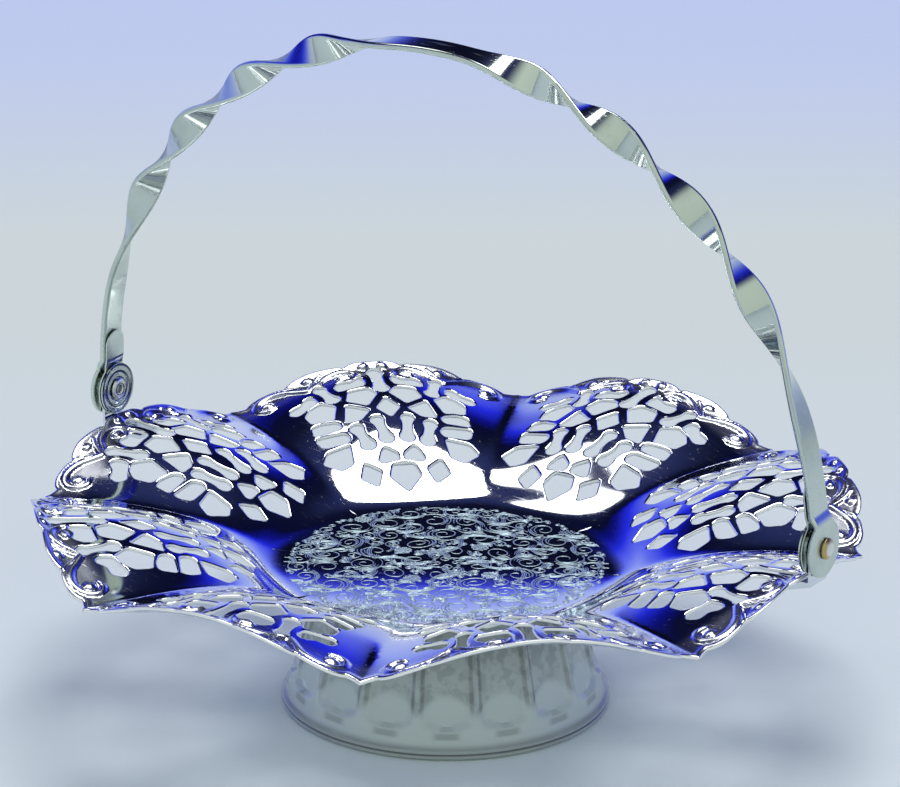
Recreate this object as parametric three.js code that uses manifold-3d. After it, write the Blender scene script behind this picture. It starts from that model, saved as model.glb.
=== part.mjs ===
// A footed bonbon bowl with a swing handle: a chrome-plated pierced dish of eight lobes,
// screwed down on a pressed-glass foot, with a twisted strip bail riveted to two rim lugs.
// Millimetres, +Z up. The origin is the centre of the foot on the table, and +X runs along
// the handle's pivot axis.
import * as THREE from 'three';
import { mergeVertices } from 'three/addons/utils/BufferGeometryUtils.js';
import { TessellateModifier } from 'three/addons/modifiers/TessellateModifier.js';
import Module from 'manifold-3d';

const wasm = await Module();
wasm.setup();

// General clearances
const clearance = 0.3; // left between pieces that touch on the real object
const cutOverrun = 2; // how far a cutting tool runs past what it cuts

// The dish
const lobeCount = 8;
const wellHeight = 38.5; // top of the flat engraved well above the table
const wallStart = 48; // radius where the wall would leave the well without its fillet
const filletHalf = 3; // half the radial width of the fillet at the foot of the wall
const rimRadius = 108; // the radius that a radial share of 1 stands for
const crestRise = 19.5; // rise of a lobe's middle from the well to the rim
const valleyRise = 10.7; // rise of the groove between two lobes
const lipRise = 2.2; // extra upturn of a lobe's rim at its middle
const sheetHeight = 1.2; // thickness of the sheet, measured upright
const slotEndShare = 0.0213; // radius of the waisted slots' round ends, of rimRadius
const longestEdge = 18; // no edge of the dish's mesh is longer in plan
const edgeSplits = 12; // rounds of splitting that reach it
const meshTolerance = 0.003; // corners closer than this are one
const crestBend = 2.3;
const valleyBend = 3;
const archBend = 1.3;
const lipStartShare = 0.93;
const lipFullShare = 1.03;
const wellSteps = 2; // straight steps of the well's edge in half a lobe

// Outlines in half a lobe. Each point is an angular share, 0 on the lobe's middle and 1 in
// the groove, and a radial share, 0 at wallStart and 1 at rimRadius.
const rimShares = [
  [0, 1.022],
  [0.12, 1.022],
  [0.2, 1.007],
  [0.32, 1.025],
  [0.45, 1.037],
  [0.56, 1.03],
  [0.62, 1.012],
  [0.7, 1.03],
  [0.79, 1.038],
  [0.87, 1.025],
  [0.91, 1.01],
  [0.96, 1.02],
  [1, 1.045],
];
// Openings on the middle line, as the half of each outline on one side of it, from its
// inner end to its outer end
const middlePentagonShares = [
  [0, 0.05],
  [0.205, 0.127],
  [0.13, 0.195],
  [0, 0.195],
];
const middleDiamondShares = [
  [0, 0.488],
  [0.112, 0.572],
  [0, 0.66],
];
const middleSlotEndShares = [
  [0, 0.752],
  [0, 0.938],
];
// Openings beside the middle line
const cornerHoleShares = [
  // outer row, under the scroll
  [
    [0.1, 0.84],
    [0.13, 0.89],
    [0.2, 0.87],
    [0.28, 0.89],
    [0.33, 0.84],
    [0.32, 0.79],
    [0.12, 0.795],
  ],
  [
    [0.56, 0.84],
    [0.62, 0.805],
    [0.71, 0.805],
    [0.745, 0.76],
    [0.705, 0.722],
    [0.51, 0.76],
    [0.51, 0.82],
  ],
  // second row
  [
    [0.11, 0.77],
    [0.26, 0.77],
    [0.318, 0.68],
    [0.17, 0.6],
    [0.045, 0.705],
  ],
  [
    [0.5, 0.748],
    [0.6, 0.735],
    [0.675, 0.69],
    [0.675, 0.61],
    [0.5, 0.565],
    [0.41, 0.675],
  ],
  [
    [0.343, 0.65],
    [0.435, 0.51],
    [0.29, 0.5],
    [0.165, 0.562],
  ],
  // two bars at the side
  [
    [0.485, 0.54],
    [0.7, 0.583],
    [0.742, 0.508],
    [0.5, 0.48],
  ],
  [
    [0.47, 0.445],
    [0.74, 0.49],
    [0.765, 0.45],
    [0.73, 0.395],
    [0.47, 0.38],
  ],
  // inner rows
  [
    [0.5, 0.36],
    [0.75, 0.365],
    [0.88, 0.3],
    [0.735, 0.223],
    [0.57, 0.24],
  ],
  [
    [0.03, 0.25],
    [0.16, 0.298],
    [0.205, 0.28],
    [0.28, 0.22],
    [0.25, 0.205],
    [0.03, 0.21],
  ],
  [
    [0.28, 0.165],
    [0.455, 0.228],
    [0.575, 0.145],
    [0.395, 0.088],
  ],
];
// Waisted slots beside the middle line, as the centres of their two round ends
const sideSlotEndShares = [
  [
    [0.4, 0.735],
    [0.43, 0.873],
  ],
  [
    [0.11, 0.347],
    [0.145, 0.478],
  ],
  [
    [0.32, 0.327],
    [0.36, 0.448],
  ],
];
const slotEndTurns = [-140, -70, 0, 70, 140]; // corners of a round end, in degrees from its tip

// The glass foot
const footRadius = 44.3;
const footTopRadius = 34.3;
const footSeatThickness = 5; // of the glass under the dish
const footWall = 4;
const footHoleRadius = 4;
const beadHeight = 3; // of the rounded base ring
const beadRound = 0.9; // height of the ring's rounding above and below
const beadTuck = 1.6; // how far the body stands in from the base ring
const bandTop = 7; // top of the plain band above the base ring
const fluteCount = 16;
const fluteDepth = 0.8;
const fluteSteps = 4;
const footRings = 3;

// The fastening between dish and foot
const gasketThickness = 1.2;
const gasketInset = 3; // gasket's edge stands in from the foot's top edge
const studRadius = 2.5;
const studFlangeRadius = 10;
const studLength = 17;
const fibreThickness = 1;
const fibreRadius = 12;
const washerThickness = 1;
const washerRadius = 9;
const nutThickness = 4;
const nutFlats = 8; // across the flats
const roundSides = 24;

// The handle
const pivotRise = 6.935; // of the pivot above the rim's top at a lobe's middle
const handleLean = 4.5; // degrees, towards -Y
const archInset = 1.12; // strip's middle at the pivots, in from the middle of the cheeks
const archHeight = 115.2; // strip's middle above the pivots at the crown
const stripWidth = 8.2;
const stripThickness = 1.8;
const stripChamfer = 0.4;
const twistStart = 28.3; // along the strip from the pivot
const crownPlain = 10.4; // untwisted strip to each side of the crown's middle
const twistEaseLow = 36; // length over which the twist sets in
const twistEaseHigh = 20; // length over which it dies out towards the crown
const twistTurns = 2; // full right-handed turns on each side
const stripSteps = 96;
const archSamples = 720;

// The hinges at the strip's ends, with heights above the pivot
const cheekRadius = 7.6;
const cheekThickness = 1.4;
const creaseLow = 6.6; // where cheek and leaf start to step in towards the arch
const creaseHigh = 9.5; // where they reach it
const cheekTail = 12; // how far the stepped end plate runs up into the strip
const rimGap = 0.3; // between the dish's rim and the innermost layer
const ringWasherThickness = 0.4;
const ringWasherRadius = 7.1;
const leafThickness = 0.5;
const leafWidth = 7.8;
const leafRadius = 7.3;
const leafTop = 17.5;
const leafSteps = 3;
const earThickness = 0.8;
const earRadius = 4.6;
const rivetRadius = 1.5;
const rivetHeadRadius = 2.8;
const rivetHeadHeight = 1.3;
const rivetTailRadius = 3;
const rivetTailHeight = 0.5;
const rivetRollShare = 0.8; // flat part of the rolled end
const rivetDomeShares = [
  // of the head's radius and of its height
  [1, 0],
  [0.85, 0.6],
  [0.5, 0.92],
  [0, 1],
];
const rivetBoreRadius = 1.1;
const rivetBoreDepth = 2.2;

// The lugs under the rim
const lugThickness = 1;
const lugReach = 10.32; // how far the lug runs in under the rim
const lugBendReach = 4.32; // where it turns up to follow the lip, in from the rim
const lugWidth = 8.4;

const TURN = Math.PI * 2;
const halfLobe = Math.PI / lobeCount;
const radians = THREE.MathUtils.degToRad;

// Materials
function finish(color, roughness, metalness) {
  return new THREE.MeshStandardMaterial({ color, roughness, metalness });
}
const chrome = finish(0xd4dade, 0.06, 1);
const stripChrome = finish(0xc3cac6, 0.14, 1);
const glass = finish(0xdfe9e6, 0.04, 0);
glass.transparent = true;
glass.opacity = 0.35;
const brass = finish(0xb89657, 0.3, 1);
const steel = finish(0x9aa0a3, 0.35, 1);
const cork = finish(0xb08a5c, 0.9, 0);
const fibre = finish(0x7d2f25, 0.75, 0);

// A closed mesh as a solid for joining and cutting
function toSolid(geometry) {
  const bare = geometry.clone();
  bare.deleteAttribute('normal');
  bare.deleteAttribute('uv');
  const merged = mergeVertices(bare);
  return new wasm.Manifold(
    new wasm.Mesh({
      numProp: 3,
      vertProperties: new Float32Array(merged.attributes.position.array),
      triVerts: new Uint32Array(merged.index.array),
    }),
  );
}

function toGeometry(solid) {
  const mesh = solid.getMesh();
  const geometry = new THREE.BufferGeometry();
  geometry.setAttribute('position', new THREE.BufferAttribute(mesh.vertProperties, 3));
  geometry.setIndex(new THREE.BufferAttribute(mesh.triVerts, 1));
  geometry.computeVertexNormals();
  return geometry;
}

function named(name, geometry, material) {
  const mesh = new THREE.Mesh(geometry, material);
  mesh.name = name;
  return mesh;
}

// A body of revolution about Z from [radius, height] points that run anticlockwise in the
// radius-height plane and close on themselves
function turned(profile, sides) {
  const points = [...profile, profile[0]].map(([r, z]) => new THREE.Vector2(r, z));
  return new THREE.LatheGeometry(points, sides).rotateX(Math.PI / 2);
}

function ring(innerRadius, outerRadius, bottom, top, sides) {
  const profile = [
    [innerRadius, bottom],
    [outerRadius, bottom],
    [outerRadius, top],
    [innerRadius, top],
  ];
  return turned(profile, sides);
}

// A flat plate whose outline lies in the Y-Z plane, from x to x + thickness
function plate(shape, x, thickness) {
  const geometry = new THREE.ExtrudeGeometry(shape, {
    depth: thickness,
    bevelEnabled: false,
    curveSegments: roundSides / 2,
  });
  // The shape's x becomes Y, its y becomes Z and its depth becomes X
  const turnToX = new THREE.Matrix4().makeBasis(
    new THREE.Vector3(0, 1, 0),
    new THREE.Vector3(0, 0, 1),
    new THREE.Vector3(1, 0, 0),
  );
  return geometry.applyMatrix4(turnToX).translate(x, 0, 0);
}

// The dish's surface

function smoothRamp(x) {
  if (x <= -filletHalf) return 0;
  if (x >= filletHalf) return x;
  return (x + filletHalf) ** 2 / (4 * filletHalf);
}

// 1 on a lobe's middle, 0 in the grooves
function archShare(angle) {
  const turns = angle / (2 * halfLobe);
  const away = Math.abs(turns - Math.round(turns)) * 2;
  return Math.max(0, Math.cos((away * Math.PI) / 2)) ** archBend;
}

function riseShare(along, bend) {
  return 1 - Math.sign(1 - along) * Math.abs(1 - along) ** bend;
}

function dishTop(x, y) {
  const along = smoothRamp(Math.hypot(x, y) - wallStart) / (rimRadius - wallStart);
  const crest = crestRise * riseShare(along, crestBend);
  const valley = valleyRise * riseShare(along, valleyBend);
  const lipShare = Math.max(0, along - lipStartShare) / (lipFullShare - lipStartShare);
  const lip = lipRise * lipShare ** 2;
  return wellHeight + valley + (crest - valley + lip) * archShare(Math.atan2(y, x));
}

function shareToPlan([angular, radial]) {
  const radius = wallStart + radial * (rimRadius - wallStart);
  const angle = angular * halfLobe;
  return new THREE.Vector2(radius * Math.cos(angle), radius * Math.sin(angle));
}

// The outline of a waisted slot: two round ends whose corners stop short of meeting
const slotEndRadius = slotEndShare * rimRadius;

function slotOutline([start, end]) {
  const a = shareToPlan(start);
  const b = shareToPlan(end);
  const heading = Math.atan2(b.y - a.y, b.x - a.x);
  const around = (centre, facing) =>
    slotEndTurns.map((turn) => {
      const angle = facing + radians(turn);
      return new THREE.Vector2(
        centre.x + slotEndRadius * Math.cos(angle),
        centre.y + slotEndRadius * Math.sin(angle),
      );
    });
  return [...around(a, heading + Math.PI), ...around(b, heading)];
}

// The half of a slot on the middle line that lies on the positive side
function halfSlotOutline(ends) {
  const whole = slotOutline(ends);
  const a = shareToPlan(ends[0]);
  const b = shareToPlan(ends[1]);
  const upper = whole.filter((p) => p.y > meshTolerance).sort((p, q) => p.x - q.x);
  const tips = [
    new THREE.Vector2(a.x - slotEndRadius, 0),
    new THREE.Vector2(b.x + slotEndRadius, 0),
  ];
  return [tips[0], ...upper, tips[1]];
}

// Half a lobe in plan, with its openings, as flat triangles
function halfLobeTriangles() {
  const middle = [
    ...middlePentagonShares.map(shareToPlan),
    ...middleDiamondShares.map(shareToPlan),
    ...halfSlotOutline(middleSlotEndShares),
  ];
  const rim = rimShares.map(shareToPlan);
  const wellEdge = [];
  const wellEdgeRadius = wallStart - filletHalf;
  for (let i = wellSteps; i >= 0; i--) {
    const angle = (halfLobe * i) / wellSteps;
    wellEdge.push(
      new THREE.Vector2(wellEdgeRadius * Math.cos(angle), wellEdgeRadius * Math.sin(angle)),
    );
  }
  const contour = [...wellEdge, ...middle, ...rim];
  const holes = [
    ...cornerHoleShares.map((outline) => outline.map(shareToPlan)),
    ...sideSlotEndShares.map(slotOutline),
  ];
  holes.forEach((hole) => {
    if (!THREE.ShapeUtils.isClockWise(hole)) hole.reverse();
  });
  const faces = THREE.ShapeUtils.triangulateShape(contour, holes);
  const corners = [contour, ...holes].flat();
  const flat = new THREE.BufferGeometry();
  const positions = faces.flat().flatMap((i) => [corners[i].x, corners[i].y, 0]);
  flat.setAttribute('position', new THREE.Float32BufferAttribute(positions, 3));
  return new TessellateModifier(longestEdge, edgeSplits).modify(flat);
}

// The whole dish in plan: each half lobe with its mirror image, turned round the centre
function dishPlan() {
  const half = halfLobeTriangles().getAttribute('position');
  const positions = [];
  for (let lobe = 0; lobe < lobeCount; lobe++) {
    const turn = lobe * 2 * halfLobe;
    for (const side of [1, -1]) {
      for (let i = 0; i < half.count; i += 3) {
        const order = side > 0 ? [0, 1, 2] : [0, 2, 1];
        for (const j of order) {
          const x = half.getX(i + j);
          const y = half.getY(i + j) * side;
          positions.push(
            x * Math.cos(turn) - y * Math.sin(turn),
            x * Math.sin(turn) + y * Math.cos(turn),
            0,
          );
        }
      }
    }
  }
  const plan = new THREE.BufferGeometry();
  plan.setAttribute('position', new THREE.Float32BufferAttribute(positions, 3));
  return mergeVertices(plan, meshTolerance);
}

// The edges that only one triangle uses, in that triangle's direction
function openEdges(triangles) {
  const edges = new Map();
  for (const [a, b, c] of triangles) {
    for (const [from, to] of [
      [a, b],
      [b, c],
      [c, a],
    ]) {
      if (!edges.delete(to + '-' + from)) edges.set(from + '-' + to, [from, to]);
    }
  }
  return [...edges.values()];
}

function dishGeometry() {
  const plan = dishPlan();
  const spots = plan.getAttribute('position');
  const index = plan.index.array;
  const triangles = [];
  for (let i = 0; i < index.length; i += 3) {
    const corners = [index[i], index[i + 1], index[i + 2]];
    if (new Set(corners).size === 3) triangles.push(corners);
  }
  const points = [];
  for (let i = 0; i < spots.count; i++) points.push([spots.getX(i), spots.getY(i)]);
  // The flat well closes the middle as a fan
  const centre = points.length;
  points.push([0, 0]);
  for (const [from, to] of openEdges(triangles)) {
    if (Math.hypot(...points[from]) < wallStart && Math.hypot(...points[to]) < wallStart) {
      triangles.push([to, from, centre]);
    }
  }
  const positions = [];
  for (const [x, y] of points) positions.push(x, y, dishTop(x, y));
  for (const [x, y] of points) positions.push(x, y, dishTop(x, y) - sheetHeight);
  const below = points.length;
  const faces = [];
  for (const [a, b, c] of triangles) {
    faces.push(a, b, c, below + a, below + c, below + b);
  }
  for (const [from, to] of openEdges(triangles)) {
    faces.push(to, from, below + from, to, below + from, below + to);
  }
  const geometry = new THREE.BufferGeometry();
  geometry.setAttribute('position', new THREE.Float32BufferAttribute(positions, 3));
  geometry.setIndex(faces);
  geometry.computeVertexNormals();
  return geometry;
}

// The stack under the well, from the dish down
const dishUnderside = wellHeight - sheetHeight;
const flangeTop = dishUnderside - clearance;
const flangeBottom = flangeTop - gasketThickness;
const footTop = flangeBottom - clearance;
const seatUnderside = footTop - footSeatThickness;
const fibreTop = seatUnderside - clearance;
const washerTop = fibreTop - fibreThickness - clearance;
const nutTop = washerTop - washerThickness - clearance;
const studBottom = flangeTop - studLength;

// The glass foot: a hollow cone on a rounded base ring, with upright flutes over a plain band
function footGeometry() {
  const bodyRadius = footRadius - beadTuck;
  const outer = [
    [bodyRadius, 0],
    [footRadius, beadRound],
    [footRadius, beadHeight - beadRound],
    [bodyRadius, beadHeight],
  ];
  for (let i = 0; i <= footRings; i++) {
    const z = bandTop + ((footTop - bandTop) * i) / footRings;
    const up = (z - beadHeight) / (footTop - beadHeight);
    outer.push([bodyRadius + (footTopRadius - bodyRadius) * up, z]);
  }
  const inner = [
    [footHoleRadius, footTop],
    [footHoleRadius, seatUnderside],
    [footTopRadius - footWall, seatUnderside],
    [bodyRadius - footWall, 0],
  ];
  const geometry = turned([...outer, ...inner], fluteCount * fluteSteps);
  // Each flute dips the cone's outer skin between two ridges
  const spots = geometry.getAttribute('position');
  for (let i = 0; i < spots.count; i++) {
    const x = spots.getX(i);
    const y = spots.getY(i);
    const z = spots.getZ(i);
    const radius = Math.hypot(x, y);
    const isFluted = z > bandTop + clearance && z < footTop - clearance;
    if (!isFluted || radius < footTopRadius) continue;
    const wave = (1 - Math.cos(Math.atan2(y, x) * fluteCount)) / 2;
    const scale = 1 - (fluteDepth * wave) / radius;
    spots.setXY(i, x * scale, y * scale);
  }
  return geometry;
}

// The stud that is soldered under the well: a threaded shank below a round flange
function studGeometry() {
  const profile = [
    [0, studBottom],
    [studRadius, studBottom],
    [studRadius, flangeBottom],
    [studFlangeRadius, flangeBottom],
    [studFlangeRadius, flangeTop],
    [0, flangeTop],
  ].map(([r, z]) => new THREE.Vector2(r, z));
  return new THREE.LatheGeometry(profile, roundSides).rotateX(Math.PI / 2);
}

function nutGeometry() {
  const cornerRadius = nutFlats / Math.sqrt(3);
  const block = new THREE.CylinderGeometry(cornerRadius, cornerRadius, nutThickness, 6);
  block.rotateX(Math.PI / 2).translate(0, 0, nutTop - nutThickness / 2);
  const boreRadius = studRadius + clearance;
  const boreLength = nutThickness + cutOverrun;
  const bore = new THREE.CylinderGeometry(boreRadius, boreRadius, boreLength, roundSides);
  bore.rotateX(Math.PI / 2).translate(0, 0, nutTop - nutThickness / 2);
  return toGeometry(toSolid(block).subtract(toSolid(bore)));
}

// Faces of the hinge's layers along X at the right-hand pivot, from the rim outwards
const rimEdge = wallStart + rimShares[0][1] * (rimRadius - wallStart);
const ringWasherInnerFace = rimEdge + rimGap;
const ringWasherOuterFace = ringWasherInnerFace + ringWasherThickness;
const leafInnerFace = ringWasherOuterFace + clearance;
const leafOuterFace = leafInnerFace + leafThickness;
const earInnerFace = leafOuterFace + clearance;
const earOuterFace = earInnerFace + earThickness;
const cheekInnerFace = earOuterFace + clearance;
const cheekOuterFace = cheekInnerFace + cheekThickness;

// The pivot axis and the strip's middle line start from those faces
const pivotHeight = dishTop(rimEdge, 0) + pivotRise;
const archHalfSpan = (cheekInnerFace + cheekOuterFace) / 2 - archInset;
const lugInnerRadius = rimEdge - lugReach;
const lugBendRadius = rimEdge - lugBendReach;

// The handle's arch: half an ellipse in the X-Z plane above the pivot axis
function archPoint(t) {
  return new THREE.Vector3(archHalfSpan * Math.cos(t), 0, archHeight * Math.sin(t));
}

// Places along the arch at equal distances, each with its distance from the first pivot
function archPlaces() {
  const lengths = [0];
  for (let i = 1; i <= archSamples; i++) {
    const from = archPoint((Math.PI * (i - 1)) / archSamples);
    const to = archPoint((Math.PI * i) / archSamples);
    lengths.push(lengths[i - 1] + from.distanceTo(to));
  }
  return lengths;
}
const archLengths = archPlaces();
const archLength = archLengths[archSamples];
const twistLength = archLength / 2 - twistStart - crownPlain;

function parameterAt(distance) {
  const target = THREE.MathUtils.clamp(distance, 0, archLength);
  let i = archLengths.findIndex((length) => length >= target);
  i = Math.max(i, 1);
  const step = archLengths[i] - archLengths[i - 1];
  const share = (target - archLengths[i - 1]) / step;
  return (Math.PI * (i - 1 + share)) / archSamples;
}

// Point, tangent, outward normal and sideways direction of the arch at a distance
function archFrame(distance) {
  const t = parameterAt(distance);
  const tangent = new THREE.Vector3(
    -archHalfSpan * Math.sin(t),
    0,
    archHeight * Math.cos(t),
  ).normalize();
  const side = new THREE.Vector3(0, 1, 0);
  const outward = new THREE.Vector3().crossVectors(side, tangent);
  return { point: archPoint(t), tangent, outward, side };
}

// The twist sets in and dies out over its two eases, and runs at a steady rate between
function twistShare(distance) {
  const along = THREE.MathUtils.clamp(distance - twistStart, 0, twistLength);
  const left = twistLength - along;
  const steady = twistLength - (twistEaseLow + twistEaseHigh) / 2;
  if (along < twistEaseLow) return along ** 2 / (2 * twistEaseLow * steady);
  if (left < twistEaseHigh) return 1 - left ** 2 / (2 * twistEaseHigh * steady);
  return (along - twistEaseLow / 2) / steady;
}

function twistAngle(distance) {
  const fromStart = twistShare(distance);
  const fromEnd = twistShare(archLength - distance);
  return TURN * twistTurns * (fromStart + 1 - fromEnd);
}

// A strip of the given section that follows the arch and twists with it
function stripGeometry({ from, to, steps, width, thickness, chamfer }) {
  const w = width / 2;
  const h = thickness / 2;
  const section = [
    [-w, -h + chamfer],
    [-w + chamfer, -h],
    [w - chamfer, -h],
    [w, -h + chamfer],
    [w, h - chamfer],
    [w - chamfer, h],
    [-w + chamfer, h],
    [-w, h - chamfer],
  ];
  const positions = [];
  const faces = [];
  const count = section.length;
  for (let i = 0; i <= steps; i++) {
    const distance = from + ((to - from) * i) / steps;
    const { point, tangent, outward, side } = archFrame(distance);
    const turn = twistAngle(distance);
    const across = side.clone().applyAxisAngle(tangent, turn);
    const through = outward.clone().applyAxisAngle(tangent, turn);
    for (const [a, b] of section) {
      const p = point
        .clone()
        .addScaledVector(across, a)
        .addScaledVector(through, b);
      positions.push(p.x, p.y, p.z);
    }
  }
  for (let i = 0; i < steps; i++) {
    for (let j = 0; j < count; j++) {
      const a = i * count + j;
      const b = i * count + ((j + 1) % count);
      faces.push(a, a + count, b, b, a + count, b + count);
    }
  }
  const last = steps * count;
  for (let j = 1; j < count - 1; j++) {
    faces.push(0, j, j + 1, last, last + j + 1, last + j);
  }
  const geometry = new THREE.BufferGeometry();
  geometry.setAttribute('position', new THREE.Float32BufferAttribute(positions, 3));
  geometry.setIndex(faces);
  return geometry;
}

// A disc on the pivot with a neck that rises from it, in the Y-Z plane, with a rivet hole.
// The neck ends square, or round where it is asked to.
function discAndNeck(radius, neckWidth, neckTop, isRound) {
  const half = neckWidth / 2;
  const meet = Math.acos(half / radius);
  const shape = new THREE.Shape();
  if (isRound) {
    shape.absarc(0, neckTop - half, half, 0, Math.PI, false);
  } else {
    shape.moveTo(half, neckTop);
    shape.lineTo(-half, neckTop);
  }
  shape.absarc(0, 0, radius, Math.PI - meet, TURN + meet, false);
  const hole = new THREE.Path();
  hole.absarc(0, 0, rivetRadius + clearance, 0, TURN, true);
  shape.holes.push(hole);
  return shape;
}

// X of the arch's middle line at a height above the pivot
function archX(height) {
  return archHalfSpan * Math.sqrt(1 - (height / archHeight) ** 2);
}

// A plate that stands upright on the pivot, steps in over the crease and then follows the
// arch, cut to an outline in the Y-Z plane
function steppedPlate(outline, innerFace, thickness, offArch, bottom, top, steps) {
  const inner = [
    [innerFace, bottom - cutOverrun],
    [innerFace, creaseLow],
  ];
  for (let i = 0; i <= steps; i++) {
    const height = creaseHigh + ((top + cutOverrun - creaseHigh) * i) / steps;
    inner.push([archX(height) - offArch - thickness / 2, height]);
  }
  const outer = inner.map(([x, z]) => [x + thickness, z]).reverse();
  const side = new THREE.Shape([...inner, ...outer].map(([x, z]) => new THREE.Vector2(x, z)));
  const depth = (cheekRadius + cutOverrun) * 2;
  const bent = new THREE.ExtrudeGeometry(side, { depth, bevelEnabled: false });
  bent.rotateX(Math.PI / 2).translate(0, depth / 2, 0);
  const reach = archHalfSpan - archX(top + cutOverrun) + cheekThickness + offArch;
  const cutter = plate(outline, innerFace - reach * 2, reach * 4);
  return toSolid(bent).intersect(toSolid(cutter));
}

// The strip with a round cheek at each end
function handleStripGeometry() {
  const strip = stripGeometry({
    from: creaseHigh,
    to: archLength - creaseHigh,
    steps: stripSteps,
    width: stripWidth,
    thickness: stripThickness,
    chamfer: stripChamfer,
  });
  const outline = discAndNeck(cheekRadius, stripWidth, cheekTail, false);
  const right = steppedPlate(
    outline,
    cheekInnerFace,
    cheekThickness,
    0,
    -cheekRadius,
    cheekTail,
    1,
  );
  const left = right.rotate([0, 0, 180]);
  return toGeometry(toSolid(strip).add(right).add(left));
}

// The short inner leaf: a round cheek inside the ear and a strap that lies on the strip
function leafGeometry() {
  const outline = discAndNeck(leafRadius, leafWidth, leafTop, true);
  const offArch = (stripThickness + leafThickness) / 2 + clearance;
  return toGeometry(
    steppedPlate(
      outline,
      leafInnerFace,
      leafThickness,
      offArch,
      -leafRadius,
      leafTop,
      leafSteps,
    ),
  );
}

// The tubular rivet: a domed head outside and a rolled, bored end inside
function rivetGeometry() {
  const headFace = cheekOuterFace + clearance;
  const tailFace = ringWasherInnerFace - clearance;
  const tailEnd = tailFace - rivetTailHeight;
  const profile = [
    [0, tailEnd + rivetBoreDepth],
    [rivetBoreRadius, tailEnd + rivetBoreDepth],
    [rivetBoreRadius, tailEnd],
    [rivetTailRadius * rivetRollShare, tailEnd],
    [rivetTailRadius, tailFace],
    [rivetRadius, tailFace],
    [rivetRadius, headFace],
    ...rivetDomeShares.map(([r, x]) => [rivetHeadRadius * r, headFace + rivetHeadHeight * x]),
  ].map(([r, x]) => new THREE.Vector2(r, x));
  return new THREE.LatheGeometry(profile, roundSides / 2).rotateZ(-Math.PI / 2);
}

function ringWasherGeometry() {
  const washer = ring(
    rivetRadius + clearance,
    ringWasherRadius,
    ringWasherInnerFace,
    ringWasherOuterFace,
    roundSides,
  );
  return washer.rotateY(Math.PI / 2);
}

// The lug: an ear between the two cheeks, bent in under the rim and soldered there
function lugGeometry() {
  const under = (x) => dishTop(x, lugWidth / 2) - sheetHeight - clearance;
  const side = new THREE.Shape();
  side.moveTo(lugInnerRadius, under(lugInnerRadius));
  side.lineTo(lugInnerRadius, under(lugInnerRadius) - lugThickness);
  side.lineTo(lugBendRadius, under(lugInnerRadius) - lugThickness);
  side.lineTo(earOuterFace, under(rimEdge) - lugThickness);
  side.lineTo(earOuterFace, pivotHeight);
  side.lineTo(earInnerFace, pivotHeight);
  side.lineTo(earInnerFace, under(rimEdge));
  side.lineTo(rimEdge, under(rimEdge));
  side.lineTo(lugBendRadius, under(lugInnerRadius));
  const bent = new THREE.ExtrudeGeometry(side, { depth: lugWidth, bevelEnabled: false });
  bent.rotateX(Math.PI / 2).translate(0, lugWidth / 2, 0);
  const disc = new THREE.Shape();
  disc.absarc(0, 0, earRadius, 0, TURN, false);
  const head = plate(disc, earInnerFace, earThickness).translate(0, 0, pivotHeight);
  const hole = new THREE.Shape();
  hole.absarc(0, 0, rivetRadius + clearance, 0, TURN, false);
  const drill = plate(hole, earInnerFace - cutOverrun / 2, earThickness + cutOverrun);
  drill.translate(0, 0, pivotHeight);
  return toGeometry(toSolid(bent).add(toSolid(head)).subtract(toSolid(drill)));
}

const group = new THREE.Group();

group.add(named('pierced_bowl', dishGeometry(), chrome));
group.add(named('glass_foot', footGeometry(), glass));
group.add(named('mounting_stud', studGeometry(), steel));
group.add(
  named(
    'cork_gasket',
    ring(
      studFlangeRadius + clearance,
      footTopRadius - gasketInset,
      flangeBottom,
      flangeTop,
      roundSides * 2,
    ),
    cork,
  ),
);
group.add(
  named(
    'fibre_washer',
    ring(studRadius + clearance, fibreRadius, fibreTop - fibreThickness, fibreTop, roundSides),
    fibre,
  ),
);
group.add(
  named(
    'steel_washer',
    ring(
      studRadius + clearance,
      washerRadius,
      washerTop - washerThickness,
      washerTop,
      roundSides,
    ),
    steel,
  ),
);
group.add(named('hex_nut', nutGeometry(), steel));

const handle = new THREE.Group();
handle.position.z = pivotHeight;
handle.rotation.x = radians(handleLean);
handle.add(named('handle_strip', handleStripGeometry(), stripChrome));
group.add(handle);

// Each hinge's pieces are made for the right-hand pivot and turned round for the left one
for (const [name, turn] of [
  ['right', 0],
  ['left', Math.PI],
]) {
  const lug = named('rim_lug_' + name, lugGeometry(), chrome);
  lug.rotation.z = turn;
  group.add(lug);
  const leaf = named('inner_leaf_' + name, leafGeometry(), stripChrome);
  const washer = named('ring_washer_' + name, ringWasherGeometry(), stripChrome);
  const rivet = named('pivot_rivet_' + name, rivetGeometry(), brass);
  for (const piece of [leaf, washer, rivet]) {
    piece.rotation.z = turn;
    handle.add(piece);
  }
}

export default group;
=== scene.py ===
import math
import random

import bmesh
import bpy
import numpy as np
from bpy.props import FloatProperty, FloatVectorProperty, IntProperty, PointerProperty
from mathutils import Matrix, Vector
from mathutils.geometry import delaunay_2d_cdt


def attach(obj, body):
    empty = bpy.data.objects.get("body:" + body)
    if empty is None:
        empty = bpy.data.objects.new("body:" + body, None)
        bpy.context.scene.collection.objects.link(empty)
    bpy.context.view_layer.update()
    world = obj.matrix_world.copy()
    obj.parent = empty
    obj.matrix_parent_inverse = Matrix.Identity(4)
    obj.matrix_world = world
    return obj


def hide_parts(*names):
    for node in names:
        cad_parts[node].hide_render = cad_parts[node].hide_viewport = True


bl_info = {
    "name": "Bonbon bowl with a swing handle",
    "version": (1, 0, 0),
    "blender": (4, 5, 0),
    "location": "View3D > Sidebar > Bonbon bowl",
    "description": "Pierced chrome dish on a pressed-glass foot, with a twisted strip bail",
    "category": "Object",
}

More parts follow.
